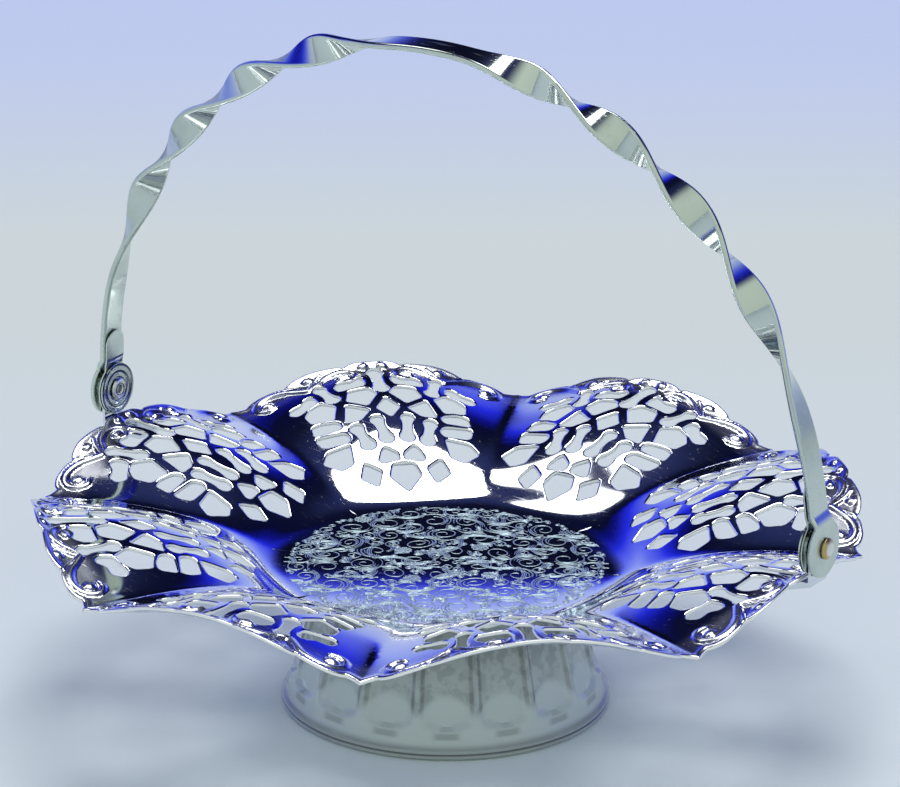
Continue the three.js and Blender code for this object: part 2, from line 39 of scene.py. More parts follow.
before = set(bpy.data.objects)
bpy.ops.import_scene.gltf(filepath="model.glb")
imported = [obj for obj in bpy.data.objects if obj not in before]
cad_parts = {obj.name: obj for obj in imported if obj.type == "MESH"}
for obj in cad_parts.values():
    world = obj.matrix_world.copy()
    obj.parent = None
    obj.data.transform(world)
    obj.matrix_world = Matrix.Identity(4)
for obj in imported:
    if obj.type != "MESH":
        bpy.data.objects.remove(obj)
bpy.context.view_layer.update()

DISH_BODY = "dish_and_foot"
HANDLE_BODY = "handle"
MM = 0.001

# The dish, in millimetres, as in the CAD source
LOBES = 8
HALF_LOBE = math.pi / LOBES
WELL_HEIGHT = 38.5
WALL_START = 48.0
FILLET_HALF = 3.0
RIM_RADIUS = 108.0
CREST_RISE = 19.5
CREST_BEND = 2.3
VALLEY_RISE = 10.7
VALLEY_BEND = 3.0
ARCH_BEND = 1.3
LIP_RISE = 2.2
LIP_START_SHARE = 0.93
LIP_FULL_SHARE = 1.03
WELL_EDGE = WALL_START - FILLET_HALF
WELL_DISHING = 0.12
WELL_SCOOP = 0.06
WELL_SCOOP_START = 33.0
WELL_SCOOP_FULL = 43.0
ENGRAVED_EDGE = 43.4

# Spacings of the dish's plan mesh and of its edges
WELL_STEP = 3.0
FINE_FROM = WELL_SCOOP_START - 2
BORDER_FROM = 98.0
PLAN_REACH = 112
PLAN_HALF_WIDTH = 46
ROW_SHARE = 0.866
OPENING_STEP = 0.75
RIM_STEP = 0.6
HOLE_CORNER = 0.9
ON_EDGE = 0.02

# The low ridge inside the rim: its height as a share of the relief, and its width
RIDGE_SHARE = 0.28
RIDGE_WIDTH = 0.9
RIDGE_FROM = 100

# Half the distances over which the form's and the relief's slopes are read
FORM_REACH = 1.6
RELIEF_REACH = 0.12

# Outlines in half a lobe, as an angular share from the lobe's middle to the groove and a
# radial share from WALL_START to RIM_RADIUS
RIM_SHARES = [
    [0, 1.022], [0.06, 1.022], [0.12, 1.022], [0.165, 1.016], [0.2, 1.007], [0.23, 1.016],
    [0.28, 1.022], [0.36, 1.03], [0.45, 1.037], [0.53, 1.034], [0.59, 1.024],
    [0.62, 1.012], [0.65, 1.022], [0.7, 1.031], [0.79, 1.038], [0.85, 1.032],
    [0.885, 1.022], [0.91, 1.01], [0.935, 1.016], [0.96, 1.024], [0.985, 1.036], [1, 1.045],
]
MIDDLE_HOLE_SHARES = [
    [[0, 0.05], [0.205, 0.127], [0.13, 0.195], [-0.13, 0.195], [-0.205, 0.127]],
    [[0, 0.488], [0.112, 0.572], [0, 0.66], [-0.112, 0.572]],
]
SIDE_HOLE_SHARES = [
    [[0.1, 0.84], [0.105, 0.885], [0.14, 0.897], [0.2, 0.872], [0.28, 0.892], [0.325, 0.86],
     [0.335, 0.83], [0.32, 0.79], [0.12, 0.795]],
    [[0.53, 0.842], [0.57, 0.842], [0.62, 0.807], [0.71, 0.805], [0.748, 0.76],
     [0.705, 0.722], [0.51, 0.76], [0.505, 0.82]],
    [[0.11, 0.77], [0.26, 0.77], [0.318, 0.68], [0.17, 0.6], [0.045, 0.705]],
    [[0.5, 0.748], [0.6, 0.735], [0.675, 0.69], [0.675, 0.61], [0.5, 0.565], [0.41, 0.675]],
    [[0.343, 0.65], [0.435, 0.51], [0.29, 0.5], [0.165, 0.562]],
    [[0.485, 0.54], [0.6, 0.58], [0.7, 0.583], [0.742, 0.508], [0.5, 0.48], [0.465, 0.51]],
    [[0.48, 0.448], [0.74, 0.49], [0.768, 0.46], [0.755, 0.41], [0.72, 0.395],
     [0.5, 0.375], [0.45, 0.405]],
    [[0.5, 0.36], [0.75, 0.365], [0.88, 0.3], [0.735, 0.223], [0.57, 0.24]],
    [[0.03, 0.25], [0.16, 0.298], [0.205, 0.28], [0.28, 0.22], [0.25, 0.205], [0.03, 0.21]],
    [[0.28, 0.165], [0.455, 0.228], [0.575, 0.145], [0.395, 0.088]],
]
# Waisted slots: the centres of their two round ends, and each end's radius in millimetres
MIDDLE_SLOT = ([0, 0.752], [0, 0.938], 2.55, 2.45)
SIDE_SLOTS = [
    ([0.4, 0.735], [0.43, 0.873], 2.25, 1.95),
    ([0.11, 0.35], [0.145, 0.478], 2.2, 2.05),
    ([0.32, 0.33], [0.36, 0.45], 2.25, 2.1),
]
# Pressed scrollwork of the border: each stroke's centre line, its half widths at its
# start, middle and end in millimetres, and its height as a share of the full relief
SCROLL_STROKES = [
    # groove-side scroll, from the point of the V round its bead
    ([[0.505, 0.9], [0.56, 0.932], [0.62, 0.966], [0.69, 0.99], [0.765, 1.0],
      [0.835, 0.987], [0.878, 0.95], [0.872, 0.908], [0.825, 0.882], [0.775, 0.886]],
     (1.2, 1.45, 1.1), 1.0),
    ([[0.795, 0.934], [0.808, 0.94]], (2.0, 2.0, 2.0), 1.2),
    # the V between the two scrolls
    ([[0.5, 0.905], [0.545, 0.945], [0.585, 0.98], [0.615, 1.005]], (0.8, 0.85, 0.7), 0.75),
    ([[0.5, 0.905], [0.455, 0.94], [0.41, 0.972], [0.37, 0.995]], (0.8, 0.85, 0.7), 0.75),
    ([[0.455, 0.987], [0.475, 0.99]], (1.5, 1.6, 1.5), 0.9),
    # middle-side scroll
    ([[0.487, 0.9], [0.43, 0.92], [0.375, 0.95], [0.31, 0.97], [0.24, 0.976],
      [0.175, 0.962], [0.135, 0.932], [0.125, 0.9]], (1.0, 1.3, 0.9), 0.95),
    ([[0.205, 0.926], [0.255, 0.921]], (1.4, 1.6, 1.4), 1.1),
    # beads at the lobe's middle
    ([[0.055, 0.992], [0.078, 0.987]], (1.4, 1.5, 1.4), 1.0),
]
# Engraved motifs: each size's radius in millimetres, number of tries and share of lattices
MOTIF_SIZES = ((6.2, 300, 0.0), (4.7, 900, 0.1), (3.5, 2000, 0.25), (2.6, 4000, 0.2),
               (1.9, 6000, 0.0), (1.3, 9000, 0.0), (0.9, 9000, 0.0))

# The handle, in millimetres, as in the CAD source
PIVOT_HEIGHT = 66.8
HANDLE_LEAN = math.radians(4.5)
ARCH_HALF_SPAN = 111.8
ARCH_HEIGHT = 115.2
TWIST_START = 28.3
CROWN_PLAIN = 10.4
TWIST_EASE_LOW = 36.0
TWIST_EASE_HIGH = 20.0
TWIST_TURNS = 2
ARCH_SAMPLES = 1440
CORNER_SHARE = 0.45
CREASE_LOW = 6.6
CREASE_HIGH = 9.5
GAP = 0.3

# The hinge's pieces outward along the pivot axis, with a gap between each two
LEAF_THICK = 0.5
CHEEK_THICK = 1.4
RIVET_TAIL = 109.32
WASHER_INNER = RIVET_TAIL + GAP
WASHER_OUTER = WASHER_INNER + 0.4
LEAF_INNER = WASHER_OUTER + GAP
LUG_OUTER = LEAF_INNER + LEAF_THICK + GAP + 0.8
CHEEK_INNER = LUG_OUTER + GAP
RIVET_HEAD = CHEEK_INNER + CHEEK_THICK + GAP
CHEEK_RADIUS = 7.6
LEAF_RADIUS = 7.3
LEAF_HALF_WIDTH = 3.9
LEAF_TOP = 17.5
# The first section of a round cheek, in degrees from its lowest point
CHEEK_FIRST = 0.6
SLOPE_REACH = 0.05

# The glass foot, in millimetres, as in the CAD source
FLUTES = 16
FOOT_HEIGHT = 35.5
FOOT_ROOF = 30.5
CONE_START = 3.0
CONE_RADII = (42.7, 34.3)
HOLLOW_HEIGHTS = (28.0, 0.8)
HOLLOW_RADII = (30.6, 38.9)
# A rib's place from a ridge to a flute's middle, and the arch at a flute's lower end
RIB_PLACE = 0.15
FLUTE_START = 7.2
FLUTE_ARCH = 3.4
FLUTE_FADE = 0.8

# The camera that was fitted to the photograph, in metres
CAMERA_TURN = math.radians(33.236)
CAMERA_PLACE = (0.5684, -0.8661, 0.4358)
CAMERA_DIP = math.radians(18.651)
CAMERA_ROLL = math.radians(0.343)
FOCAL_PIXELS = 4155.7
IMAGE_WIDTH = 900
FLOOR_HALF = 4000

# Lamps: name, azimuth and elevation in degrees, size in metres, share of the lamp power
LAMPS = (
    ("overhead_lamp", 16.7, 74.1, 1.72, 1.58, 1.32),
    ("left_lamp", -42.0, 56.0, 1.60, 0.66, 0.24),
)
LAMP_DISTANCE = 3


class DishLook(bpy.types.PropertyGroup):
    sheet: FloatProperty(
        name="Sheet", description="Thickness of the dish's sheet, upright",
        default=1.15 * MM, min=0.4 * MM, max=2 * MM, unit="LENGTH")
    relief: FloatProperty(
        name="Relief", description="Height of the pressed scrollwork",
        default=0.7 * MM, min=0, max=2 * MM, unit="LENGTH")
    edge_round: FloatProperty(
        name="Edge rounding", description="Width of the rounding along openings and rim",
        default=0.6 * MM, min=0.1 * MM, max=1 * MM, unit="LENGTH")
    edge_drop: FloatProperty(
        name="Edge drop", description="How far the rounding falls at an edge",
        default=0.2 * MM, min=0, max=0.6 * MM, unit="LENGTH")
    mesh_step: FloatProperty(
        name="Mesh step", description="Spacing of the dish's mesh away from the border",
        default=1.7 * MM, min=0.5 * MM, max=5 * MM, unit="LENGTH")
    border_step: FloatProperty(
        name="Border mesh step", description="Spacing of the mesh under the scrollwork",
        default=0.55 * MM, min=0.3 * MM, max=2 * MM, unit="LENGTH")
    plate_colour: FloatVectorProperty(
        name="Plate", description="Colour of the chrome plate",
        default=(0.80, 0.83, 0.86), min=0, max=1, subtype="COLOR")
    # The cut edge's pale colour is a painted highlight
    edge_highlight_colour: FloatVectorProperty(
        name="Cut edge", description="Colour of the sheet's rolled edge",
        default=(0.92, 0.95, 0.90), min=0, max=1, subtype="COLOR")


class EngravingLook(bpy.types.PropertyGroup):
    line_width: FloatProperty(
        name="Line width", description="Width of an engraved line",
        default=0.24 * MM, min=0.1 * MM, max=1 * MM, unit="LENGTH")
    line_rise: FloatProperty(
        name="Line rise", description="Height of the burr along an engraved line",
        default=0.08 * MM, min=0, max=0.3 * MM, unit="LENGTH")
    seed: IntProperty(
        name="Seed", description="Chooses the small curls between the scrolls",
        default=4, min=0, max=1000)


class HandleLook(bpy.types.PropertyGroup):
    strip_width: FloatProperty(
        name="Strip width", description="Width of the handle's strip",
        default=8.2 * MM, min=4 * MM, max=12 * MM, unit="LENGTH")
    strip_thickness: FloatProperty(
        name="Strip thickness", description="Thickness of the handle's strip",
        default=1.8 * MM, min=1 * MM, max=3 * MM, unit="LENGTH")
    steps: IntProperty(
        name="Steps", description="Sections along the strip", default=420, min=60, max=1000)
    plate_colour: FloatVectorProperty(
        name="Plate", description="Colour of the handle's plate",
        default=(0.64, 0.72, 0.64), min=0, max=1, subtype="COLOR")


class FootLook(bpy.types.PropertyGroup):
    flute_depth: FloatProperty(
        name="Flute depth", description="How far a flute dips between its ridges",
        default=1.2 * MM, min=0, max=2 * MM, unit="LENGTH")
    tint: FloatVectorProperty(
        name="Glass tint", description="Tint of the pressed glass",
        default=(0.90, 1.0, 0.96), min=0, max=1, subtype="COLOR")


class StageLook(bpy.types.PropertyGroup):
    # The floor's three colours are painted light, brightest near the camera and bluer and
    # darker far behind
    floor_near: FloatVectorProperty(
        name="Near floor", description="Colour of the floor towards the camera",
        default=(0.88, 0.95, 0.94), min=0, max=1, subtype="COLOR")
    floor_middle: FloatVectorProperty(
        name="Middle floor", description="Colour of the floor behind the bowl",
        default=(0.82, 0.88, 0.79), min=0, max=1, subtype="COLOR")
    floor_far: FloatVectorProperty(
        name="Far floor", description="Colour of the floor far behind the bowl",
        default=(0.69, 0.77, 0.97), min=0, max=1, subtype="COLOR")
    lamp_power: FloatProperty(
        name="Lamp power", description="Power in watts that each soft lamp takes its share of",
        default=30, min=0, max=500, subtype="POWER")


# Shader nodes written as expressions

def math_method(operation, reflected=False, clamp=False):
    """A method that adds one Math node. A reflected one swaps its operands."""
    settings = {"operation": operation, "use_clamp": clamp}

    def method(self, other=0.0):
        operands = (other, self) if reflected else (self, other)
        return self.shader.node("ShaderNodeMath", settings, operands)

    return method


class Value:
    """A socket that sums and products can be written with."""

    def __init__(self, shader, source):
        self.shader = shader
        self.source = source

    __add__ = math_method("ADD")
    __radd__ = math_method("ADD", reflected=True)
    __sub__ = math_method("SUBTRACT")
    __rsub__ = math_method("SUBTRACT", reflected=True)
    __mul__ = math_method("MULTIPLY")
    __rmul__ = math_method("MULTIPLY", reflected=True)
    __truediv__ = math_method("DIVIDE")
    __rtruediv__ = math_method("DIVIDE", reflected=True)
    __pow__ = math_method("POWER")
    __rpow__ = math_method("POWER", reflected=True)
    clamped = math_method("ADD", clamp=True)
    absolute = math_method("ABSOLUTE")
    arcsine = math_method("ARCSINE")
    arctangent = math_method("ARCTAN2")
    fraction = math_method("FRACT")


class Shader:
    """The node tree of one material or world."""

    def __init__(self, owner):
        owner.use_nodes = True
        self.owner = owner
        self.tree = owner.node_tree
        self.tree.nodes.clear()

    def feed(self, socket, given):
        """Links a Value to a socket, or writes a constant there."""
        if isinstance(given, Value):
            self.tree.links.new(given.source, socket)
        elif isinstance(given, (tuple, list)) and len(given) < len(socket.default_value):
            socket.default_value = (*given, 1.0)
        else:
            socket.default_value = given

    def node(self, kind, settings=None, inputs=(), output=None, **named):
        """Adds a node. Settings are set first, then sockets in their order or by their
        names. The first output in use is returned, or the one that is named."""
        made = self.tree.nodes.new(kind)
        for name, given in (settings or {}).items():
            if name == "stops":
                ramp = made.color_ramp
                while len(ramp.elements) < len(given):
                    ramp.elements.new(0.5)
                for element, (at, colour) in zip(ramp.elements, given):
                    element.position = at
                    element.color = (*colour, 1.0)
            else:
                setattr(made, name, given)
        for socket, given in zip(made.inputs, inputs):
            self.feed(socket, given)
        for name, given in named.items():
            key = name.replace("_", " ")
            self.feed(next(s for s in made.inputs if s.name == key and s.enabled), given)
        used = [s for s in made.outputs if s.enabled and output in (None, s.name)]
        return Value(self, used[0]) if used else made

    def position(self, output="Object"):
        return self.node("ShaderNodeTexCoord", output=output)

    def noise(self, at, scale, detail=3.0, roughness=0.5):
        return self.node("ShaderNodeTexNoise", Vector=at, Scale=scale, Detail=detail,
                         Roughness=roughness)

    def scaled(self, at, scale):
        return self.node("ShaderNodeVectorMath", {"operation": "MULTIPLY"}, (at, scale))

    def dot(self, at, direction):
        return self.node("ShaderNodeVectorMath", {"operation": "DOT_PRODUCT"}, (at, direction))

    def blend(self, factor, first, second):
        """A colour between two colours."""
        return self.node("ShaderNodeMix", {"data_type": "RGBA"}, Factor=factor, A=first,
                         B=second)

    def ramp(self, factor, *stops):
        """A colour along stops, each a place from 0 to 1 and a colour."""
        return self.node("ShaderNodeValToRGB", {"stops": stops}, Fac=factor)

    def span(self, value, low, high):
        """0 below low, 1 above high, smooth between."""
        return self.node("ShaderNodeMapRange", {"interpolation_type": "SMOOTHSTEP"},
                         Value=value, From_Min=low, From_Max=high)

    def bump(self, height, strength, distance):
        return self.node("ShaderNodeBump", Height=height, Strength=strength,
                         Distance=distance)

    def surface(self, **sockets):
        """Finishes the material and returns it."""
        shader = self.node("ShaderNodeBsdfPrincipled", **sockets)
        self.node("ShaderNodeOutputMaterial", Surface=shader)
        return self.owner


def new_shader(name):
    """A new material's shader, and the place on the piece that its patterns follow."""
    s = Shader(bpy.data.materials.new(name))
    return s, s.position()


def chrome_plate(name, colour, roughness, wear, dish=False, dull_below=0.0):
    """Bright plate with handling marks, fine polishing lines and a slightly wavy surface.
    On the dish the border's scrollwork is softer and the engraved well finely matted.
    Below a given height the plate is duller, as on the handle's rubbed ends."""
    s, at = new_shader(name)
    smudge = s.span(s.noise(at, 38.0, 4.0, 0.6), 0.42, 0.72)
    haze = s.span(s.noise(at, 9.0, 2.0), 0.35, 0.75)
    scratch = s.span(s.noise(s.scaled(at, (90.0, 1400.0, 600.0)), 1.0, 2.0), 0.62, 0.74)
    pit = s.span(s.noise(at, 900.0, 1.0), 0.68, 0.8)
    dull = smudge * 0.6 + haze * 0.4
    tone = s.blend(dull * wear, colour, tuple(c * 0.82 for c in colour))
    rough = roughness + (dull * 0.05 + scratch * 0.10 + pit * 0.15) * wear
    height = s.noise(at, 55.0, 2.0) + scratch * (0.03 * wear)
    if dull_below:
        upward = s.dot(at, (0.0, 0.0, 1.0))
        rough = rough + s.span(upward, dull_below + 0.008, dull_below) * 0.16
    if dish:
        flat = s.scaled(at, (1.0, 1.0, 0.0))
        radius = s.dot(flat, flat) ** 0.5
        border = s.span(radius, 0.098, 0.103)
        matted = s.span(radius, 0.0445, 0.042)
        stipple = s.noise(at, 800.0, 2.0, 0.7)
        rough = rough + border * 0.13 + matted * 0.03
        height = height + matted * stipple * 0.3
    return s.surface(Base_Color=tone, Metallic=1.0, Roughness=rough,
                     Normal=s.bump(height, 0.25, 0.12 * MM))


def cut_edge_highlight(name, colour):
    """The sheet's edge, which was punched, rolled over and plated with the rest. Its pale,
    mostly non-metallic tone is a painted highlight that keeps the edges bright whatever they
    face; the drag marks along it are real.
    """
    s, at = new_shader(name)
    drag = s.noise(s.scaled(at, (700.0, 700.0, 3500.0)), 1.0, 2.0)
    # Painted highlight: a pale tone, with real drag marks
    tone = s.blend(s.span(drag, 0.4, 0.7), tuple(min(1.0, c * 1.08) for c in colour), colour)
    return s.surface(Base_Color=tone, Metallic=0.3, Roughness=0.3 + drag * 0.2,
                     Normal=s.bump(drag, 0.3, 0.06 * MM))


def engraved_line(name):
    """The frosted floor of a wheel-cut line."""
    s, at = new_shader(name)
    grain = s.noise(at, 4200.0, 2.0)
    tone = s.blend(s.span(grain, 0.35, 0.7), (0.45, 0.58, 0.64), (0.72, 0.90, 0.98))
    return s.surface(Base_Color=tone, Metallic=0.9, Roughness=0.3 + grain * 0.2,
                     Normal=s.bump(grain, 0.8, 0.08 * MM))


def pressed_glass(name, tint):
    """Clear pressed glass with a fire-polished, faintly wavy skin. Its colour is darkened by
    painted shade along the ribs' sides, in the base ring and towards the top under the dish,
    and by painted dark reflections at the flutes' ends and in arches near the top."""
    s, at = new_shader(name)
    wave = s.noise(at, 120.0, 3.0)
    seed = s.span(s.noise(at, 700.0, 1.0), 0.7, 0.8)
    above = s.dot(at, (0.0, 0.0, 1.0)) / MM
    round_angle = s.dot(at, (0.0, 1.0, 0.0)).arctangent(s.dot(at, (1.0, 0.0, 0.0)))
    turn = (round_angle * (FLUTES / (2 * math.pi))).fraction()
    from_ridge = 1.0 - (turn * 2.0 - 1.0).absolute()
    # Painted shade: dark lines along the ribs' sides
    painted_rib_shade = (s.span(from_ridge, 0.05, 0.12) * s.span(from_ridge, 0.26, 0.18)
                 * s.span(above, 9.5, 13.0))
    # Painted dark reflections at the flutes' lower ends
    painted_flute_end_reflections = (s.span(above, 4.8, 5.6) * s.span(above, 7.4, 6.4)
                  * s.span(from_ridge, 0.45, 0.75))
    # Painted shade in the base ring and its groove
    ring = s.span(above, 4.4, 2.8) * 0.65 + s.span(above, 1.3, 1.6) * s.span(above, 2.1, 1.8)
    patches = s.span(s.noise(at, 330.0, 2.0), 0.42, 0.6)
    to_ridge = 1.0 - from_ridge
    # Painted dark reflections in arches near the top, and painted shade towards the top under
    # the dish
    painted_arch_reflections = s.span(above + to_ridge * to_ridge * 5.0, 14.5, 17.0) * (0.5 + patches * 0.5)
    top = s.span(above, 17.0, 30.0) * 0.4 + painted_arch_reflections * 0.6
    # All the painted shade and dark reflections, blended from the tint towards a darker tint
    painted_shade = (painted_rib_shade * 0.4 + painted_flute_end_reflections * 0.5 + ring * 0.6 + top * 0.8).clamped()
    tone = s.blend(painted_shade, tint, tuple(c * 0.3 for c in tint))
    return s.surface(Base_Color=tone, Roughness=0.015 + seed * 0.05, IOR=1.5,
                     Transmission_Weight=0.47, Normal=s.bump(wave, 0.35, 0.25 * MM))


def plated_brass(name):
    """Plated brass, worn through to the metal round the rivet's head. The open bore of its tail
    is painted near-black as shade.
    """
    s, at = new_shader(name)
    head = s.span(s.dot(at, (1.0, 0.0, 0.0)).absolute(), 0.1137, 0.1141)
    across = s.dot(at, (0.0, 1.0, 0.0))
    above = s.dot(at, (0.0, 0.0, 1.0)) - PIVOT_HEIGHT * MM
    from_axis = (across * across + above * above) ** 0.5
    rubbed = s.span(from_axis + s.noise(at, 900.0, 3.0) * (0.8 * MM), 1.9 * MM, 2.7 * MM)
    worn = head * rubbed
    # Painted shade: the bore inside the rivet's tail is painted near-black
    painted_shade = s.span(from_axis, 1.2 * MM, 1.0 * MM)
    tone = s.blend(worn, (0.72, 0.73, 0.68), (0.52, 0.38, 0.16))
    tone = s.blend(painted_shade * (1 - head), tone, (0.02, 0.02, 0.025))
    return s.surface(Base_Color=tone, Metallic=1.0, Roughness=0.12 + worn * 0.2,
                     Normal=s.bump(s.noise(at, 1500.0, 2.0), 0.3, 0.05 * MM))


def bare_steel(name, colour, roughness):
    """Turned steel with machining lines and a little darkening."""
    s, at = new_shader(name)
    lines = s.noise(s.scaled(at, (200.0, 200.0, 9000.0)), 1.0, 2.0)
    stain = s.span(s.noise(at, 140.0, 3.0), 0.45, 0.75)
    tone = s.blend(stain, colour, tuple(c * 0.6 for c in colour))
    rough = roughness + stain * 0.15 + lines * 0.1
    return s.surface(Base_Color=tone, Metallic=1.0, Roughness=rough,
                     Normal=s.bump(lines, 0.3, 0.05 * MM))


def pressed_sheet(name, light, dark, grain_scale):
    """Matte sheet, such as cork or fibre, with its grain."""
    s, at = new_shader(name)
    grain = s.noise(at, grain_scale, 5.0, 0.65)
    tone = s.blend(s.span(grain, 0.38, 0.66), dark, light)
    return s.surface(Base_Color=tone, Roughness=0.86 - grain * 0.12,
                     Normal=s.bump(grain, 0.6, 0.2 * MM))


# Meshes from points, faces and normals

def mesh_object(name, points, faces, normals=None, material=None, edge_faces=0):
    """A mesh in metres from points in millimetres. Normals, one for each point, are kept.
    The last edge_faces faces take the second material slot."""
    mesh = bpy.data.meshes.new(name)
    mesh.from_pydata([tuple(c * MM for c in p) for p in points], [], faces)
    slots = np.zeros(len(faces), int)
    slots[len(faces) - edge_faces:] = 1
    mesh.polygons.foreach_set("material_index", slots)
    mesh.validate(verbose=False)
    mesh.shade_smooth()
    mesh.update()
    if normals is not None:
        mesh.normals_split_custom_set_from_vertices([tuple(n) for n in normals])
    if material:
        mesh.materials.append(material)
    piece = bpy.data.objects.new(name, mesh)
    bpy.context.scene.collection.objects.link(piece)
    return piece


def place(piece, body, slot, *nodes):
    """Rides a piece on its body, in place of the named CAD nodes."""
    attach(piece, body)
    if nodes:
        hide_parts(*nodes)
    return piece


def swept(rings, normals):
    """Points, faces and normals of a skin over rings of equal length, with flat caps."""
    points, out, faces = [], [], []
    count = len(rings[0])
    for ring, ring_normals in zip(rings, normals):
        points += [tuple(p) for p in ring]
        out += [tuple(n) for n in ring_normals]
    for i in range(len(rings) - 1):
        for j in range(count):
            a = i * count + j
            b = i * count + (j + 1) % count
            faces.append((a, a + count, b + count, b))
    for ring, sign in ((rings[0], 1), (rings[-1], -1)):
        start = len(points)
        middle = sum((Vector(p) for p in ring), Vector()) / count
        outward = (Vector(ring[0]) - middle).cross(Vector(ring[count // 4]) - middle)
        points += [tuple(p) for p in ring]
        out += [tuple(outward.normalized() * sign)] * count
        cap = list(range(start, start + count))
        faces.append(tuple(cap if sign > 0 else reversed(cap)))
    return points, faces, out


def turned(profile, sides):
    """Points and faces of a body of revolution about Z from a closed [radius, z] profile."""
    points, faces = [], []
    count = len(profile)
    for i in range(sides):
        angle = 2 * math.pi * i / sides
        for r, z in profile:
            points.append((r * math.cos(angle), r * math.sin(angle), z))
    for i in range(sides):
        for j in range(count):
            here, after = i * count, (i + 1) % sides * count
            k = (j + 1) % count
            faces.append((here + j, after + j, after + k, here + k))
    return points, faces


def settle_normals(piece, sharp):
    """Makes the faces agree and shades smooth below the sharp angle."""
    work = bmesh.new()
    work.from_mesh(piece.data)
    bmesh.ops.remove_doubles(work, verts=work.verts, dist=1e-7)
    bmesh.ops.recalc_face_normals(work, faces=work.faces)
    work.to_mesh(piece.data)
    work.free()
    piece.data.shade_smooth()
    piece.data.set_sharp_from_angle(angle=sharp)


def ease(t):
    """0 below 0, 1 above 1, smooth between."""
    t = np.clip(t, 0.0, 1.0)
    return t * t * (3 - 2 * t)


def unit(vectors):
    """Rows scaled to length 1."""
    return vectors / np.maximum(np.linalg.norm(vectors, axis=1)[:, None], 1e-9)


def right_of(along):
    """Unit directions to the right of a line's directions in plan."""
    along = along / np.maximum(np.hypot(*along.T)[:, None], 1e-9)
    return np.stack([along[:, 1], -along[:, 0]], 1)


# The dish's surface

def height_of_dish(x, y):
    """Height of the dish's upper face in millimetres, without relief."""
    radius = np.hypot(x, y)
    past = radius - WALL_START
    ramp = np.where(past <= -FILLET_HALF, 0.0,
                    np.where(past >= FILLET_HALF, past,
                             (past + FILLET_HALF) ** 2 / (4 * FILLET_HALF)))
    along = ramp / (RIM_RADIUS - WALL_START)

    def rise(bend):
        return 1 - np.sign(1 - along) * np.abs(1 - along) ** bend

    turns = np.arctan2(y, x) / (2 * HALF_LOBE)
    away = np.abs(turns - np.round(turns)) * 2
    arch = np.maximum(0, np.cos(away * math.pi / 2)) ** ARCH_BEND
    lip_share = np.maximum(0, along - LIP_START_SHARE) / (LIP_FULL_SHARE - LIP_START_SHARE)
    crest = CREST_RISE * rise(CREST_BEND)
    valley = VALLEY_RISE * rise(VALLEY_BEND)
    return WELL_HEIGHT + valley + (crest - valley + LIP_RISE * lip_share ** 2) * arch


def to_plan(shares):
    """Shares of the half lobe to millimetres in plan, for the lobe along +X."""
    shares = np.asarray(shares, float)
    radius = WALL_START + shares[:, 1] * (RIM_RADIUS - WALL_START)
    angle = shares[:, 0] * HALF_LOBE
    return np.stack([radius * np.cos(angle), radius * np.sin(angle)], 1)


def mirrored(outline):
    return outline[::-1] * np.array([1.0, -1.0])


def resampled(line, step, closed):
    """Points along a line at about equal steps that keep its ends."""
    if closed:
        line = np.vstack([line, line[:1]])
    lengths = np.hypot(*np.diff(line, axis=0).T)
    at = np.concatenate([[0], np.cumsum(lengths)])
    count = max(3, int(round(at[-1] / step)))
    places = np.linspace(0, at[-1], count + 1)
    out = np.stack([np.interp(places, at, line[:, 0]), np.interp(places, at, line[:, 1])], 1)
    return out[:-1] if closed else out


def corners_rounded(outline, radius):
    """A polygon with each corner cut by an arc of up to the given radius."""
    out = []
    count = len(outline)
    for i in range(count):
        before, corner, after = outline[i - 1], outline[i], outline[(i + 1) % count]
        a, b = before - corner, after - corner
        la, lb = np.hypot(*a), np.hypot(*b)
        cut = min(radius, 0.45 * la, 0.45 * lb)
        p, q = corner + a / la * cut, corner + b / lb * cut
        for t in np.linspace(0, 1, 5):
            out.append((1 - t) ** 2 * p + 2 * t * (1 - t) * corner + t ** 2 * q)
    return np.array(out)


def waisted_slot(start, end, start_radius, end_radius):
    """The outline of a slot of two round ends with a waist between them."""
    a, b = to_plan([start])[0], to_plan([end])[0]
    heading = math.atan2(*(b - a)[::-1])
    out = []
    for centre, radius, facing in ((a, start_radius, heading + math.pi),
                                   (b, end_radius, heading)):
        for turn in np.radians(np.linspace(-146, 146, 19)):
            out.append(centre + radius * np.array([math.cos(facing + turn),
                                                   math.sin(facing + turn)]))
    line = np.array(out)
    return (np.roll(line, 1, 0) + 2 * line + np.roll(line, -1, 0)) / 4


def opening_outlines():
    """The openings of one lobe, as closed outlines that run anticlockwise."""
    shapes = [corners_rounded(to_plan(o), HOLE_CORNER) for o in MIDDLE_HOLE_SHARES]
    shapes.append(waisted_slot(*MIDDLE_SLOT))
    sides = [corners_rounded(to_plan(o), HOLE_CORNER) for o in SIDE_HOLE_SHARES]
    sides += [waisted_slot(*slot) for slot in SIDE_SLOTS]
    shapes += sides + [mirrored(o) for o in sides]
    out = []
    for shape in shapes:
        line = resampled(shape, OPENING_STEP, True)
        x, y = line.T
        area = np.sum(x * np.roll(y, -1) - np.roll(x, -1) * y)
        out.append(line if area > 0 else line[::-1])
    return out


def loop_normals(loop):
    """Unit directions that point out of an anticlockwise loop."""
    return right_of(np.roll(loop, -1, 0) - np.roll(loop, 1, 0))


def distance_to_segments(points, starts, ends):
    """Least distance from each point to any of the segments."""
    best = np.full(len(points), 1e9)
    for a, b in zip(starts, ends):
        d = b - a
        t = np.clip(((points - a) @ d) / max(d @ d, 1e-12), 0, 1)
        best = np.minimum(best, np.hypot(*(points - a - t[:, None] * d).T))
    return best


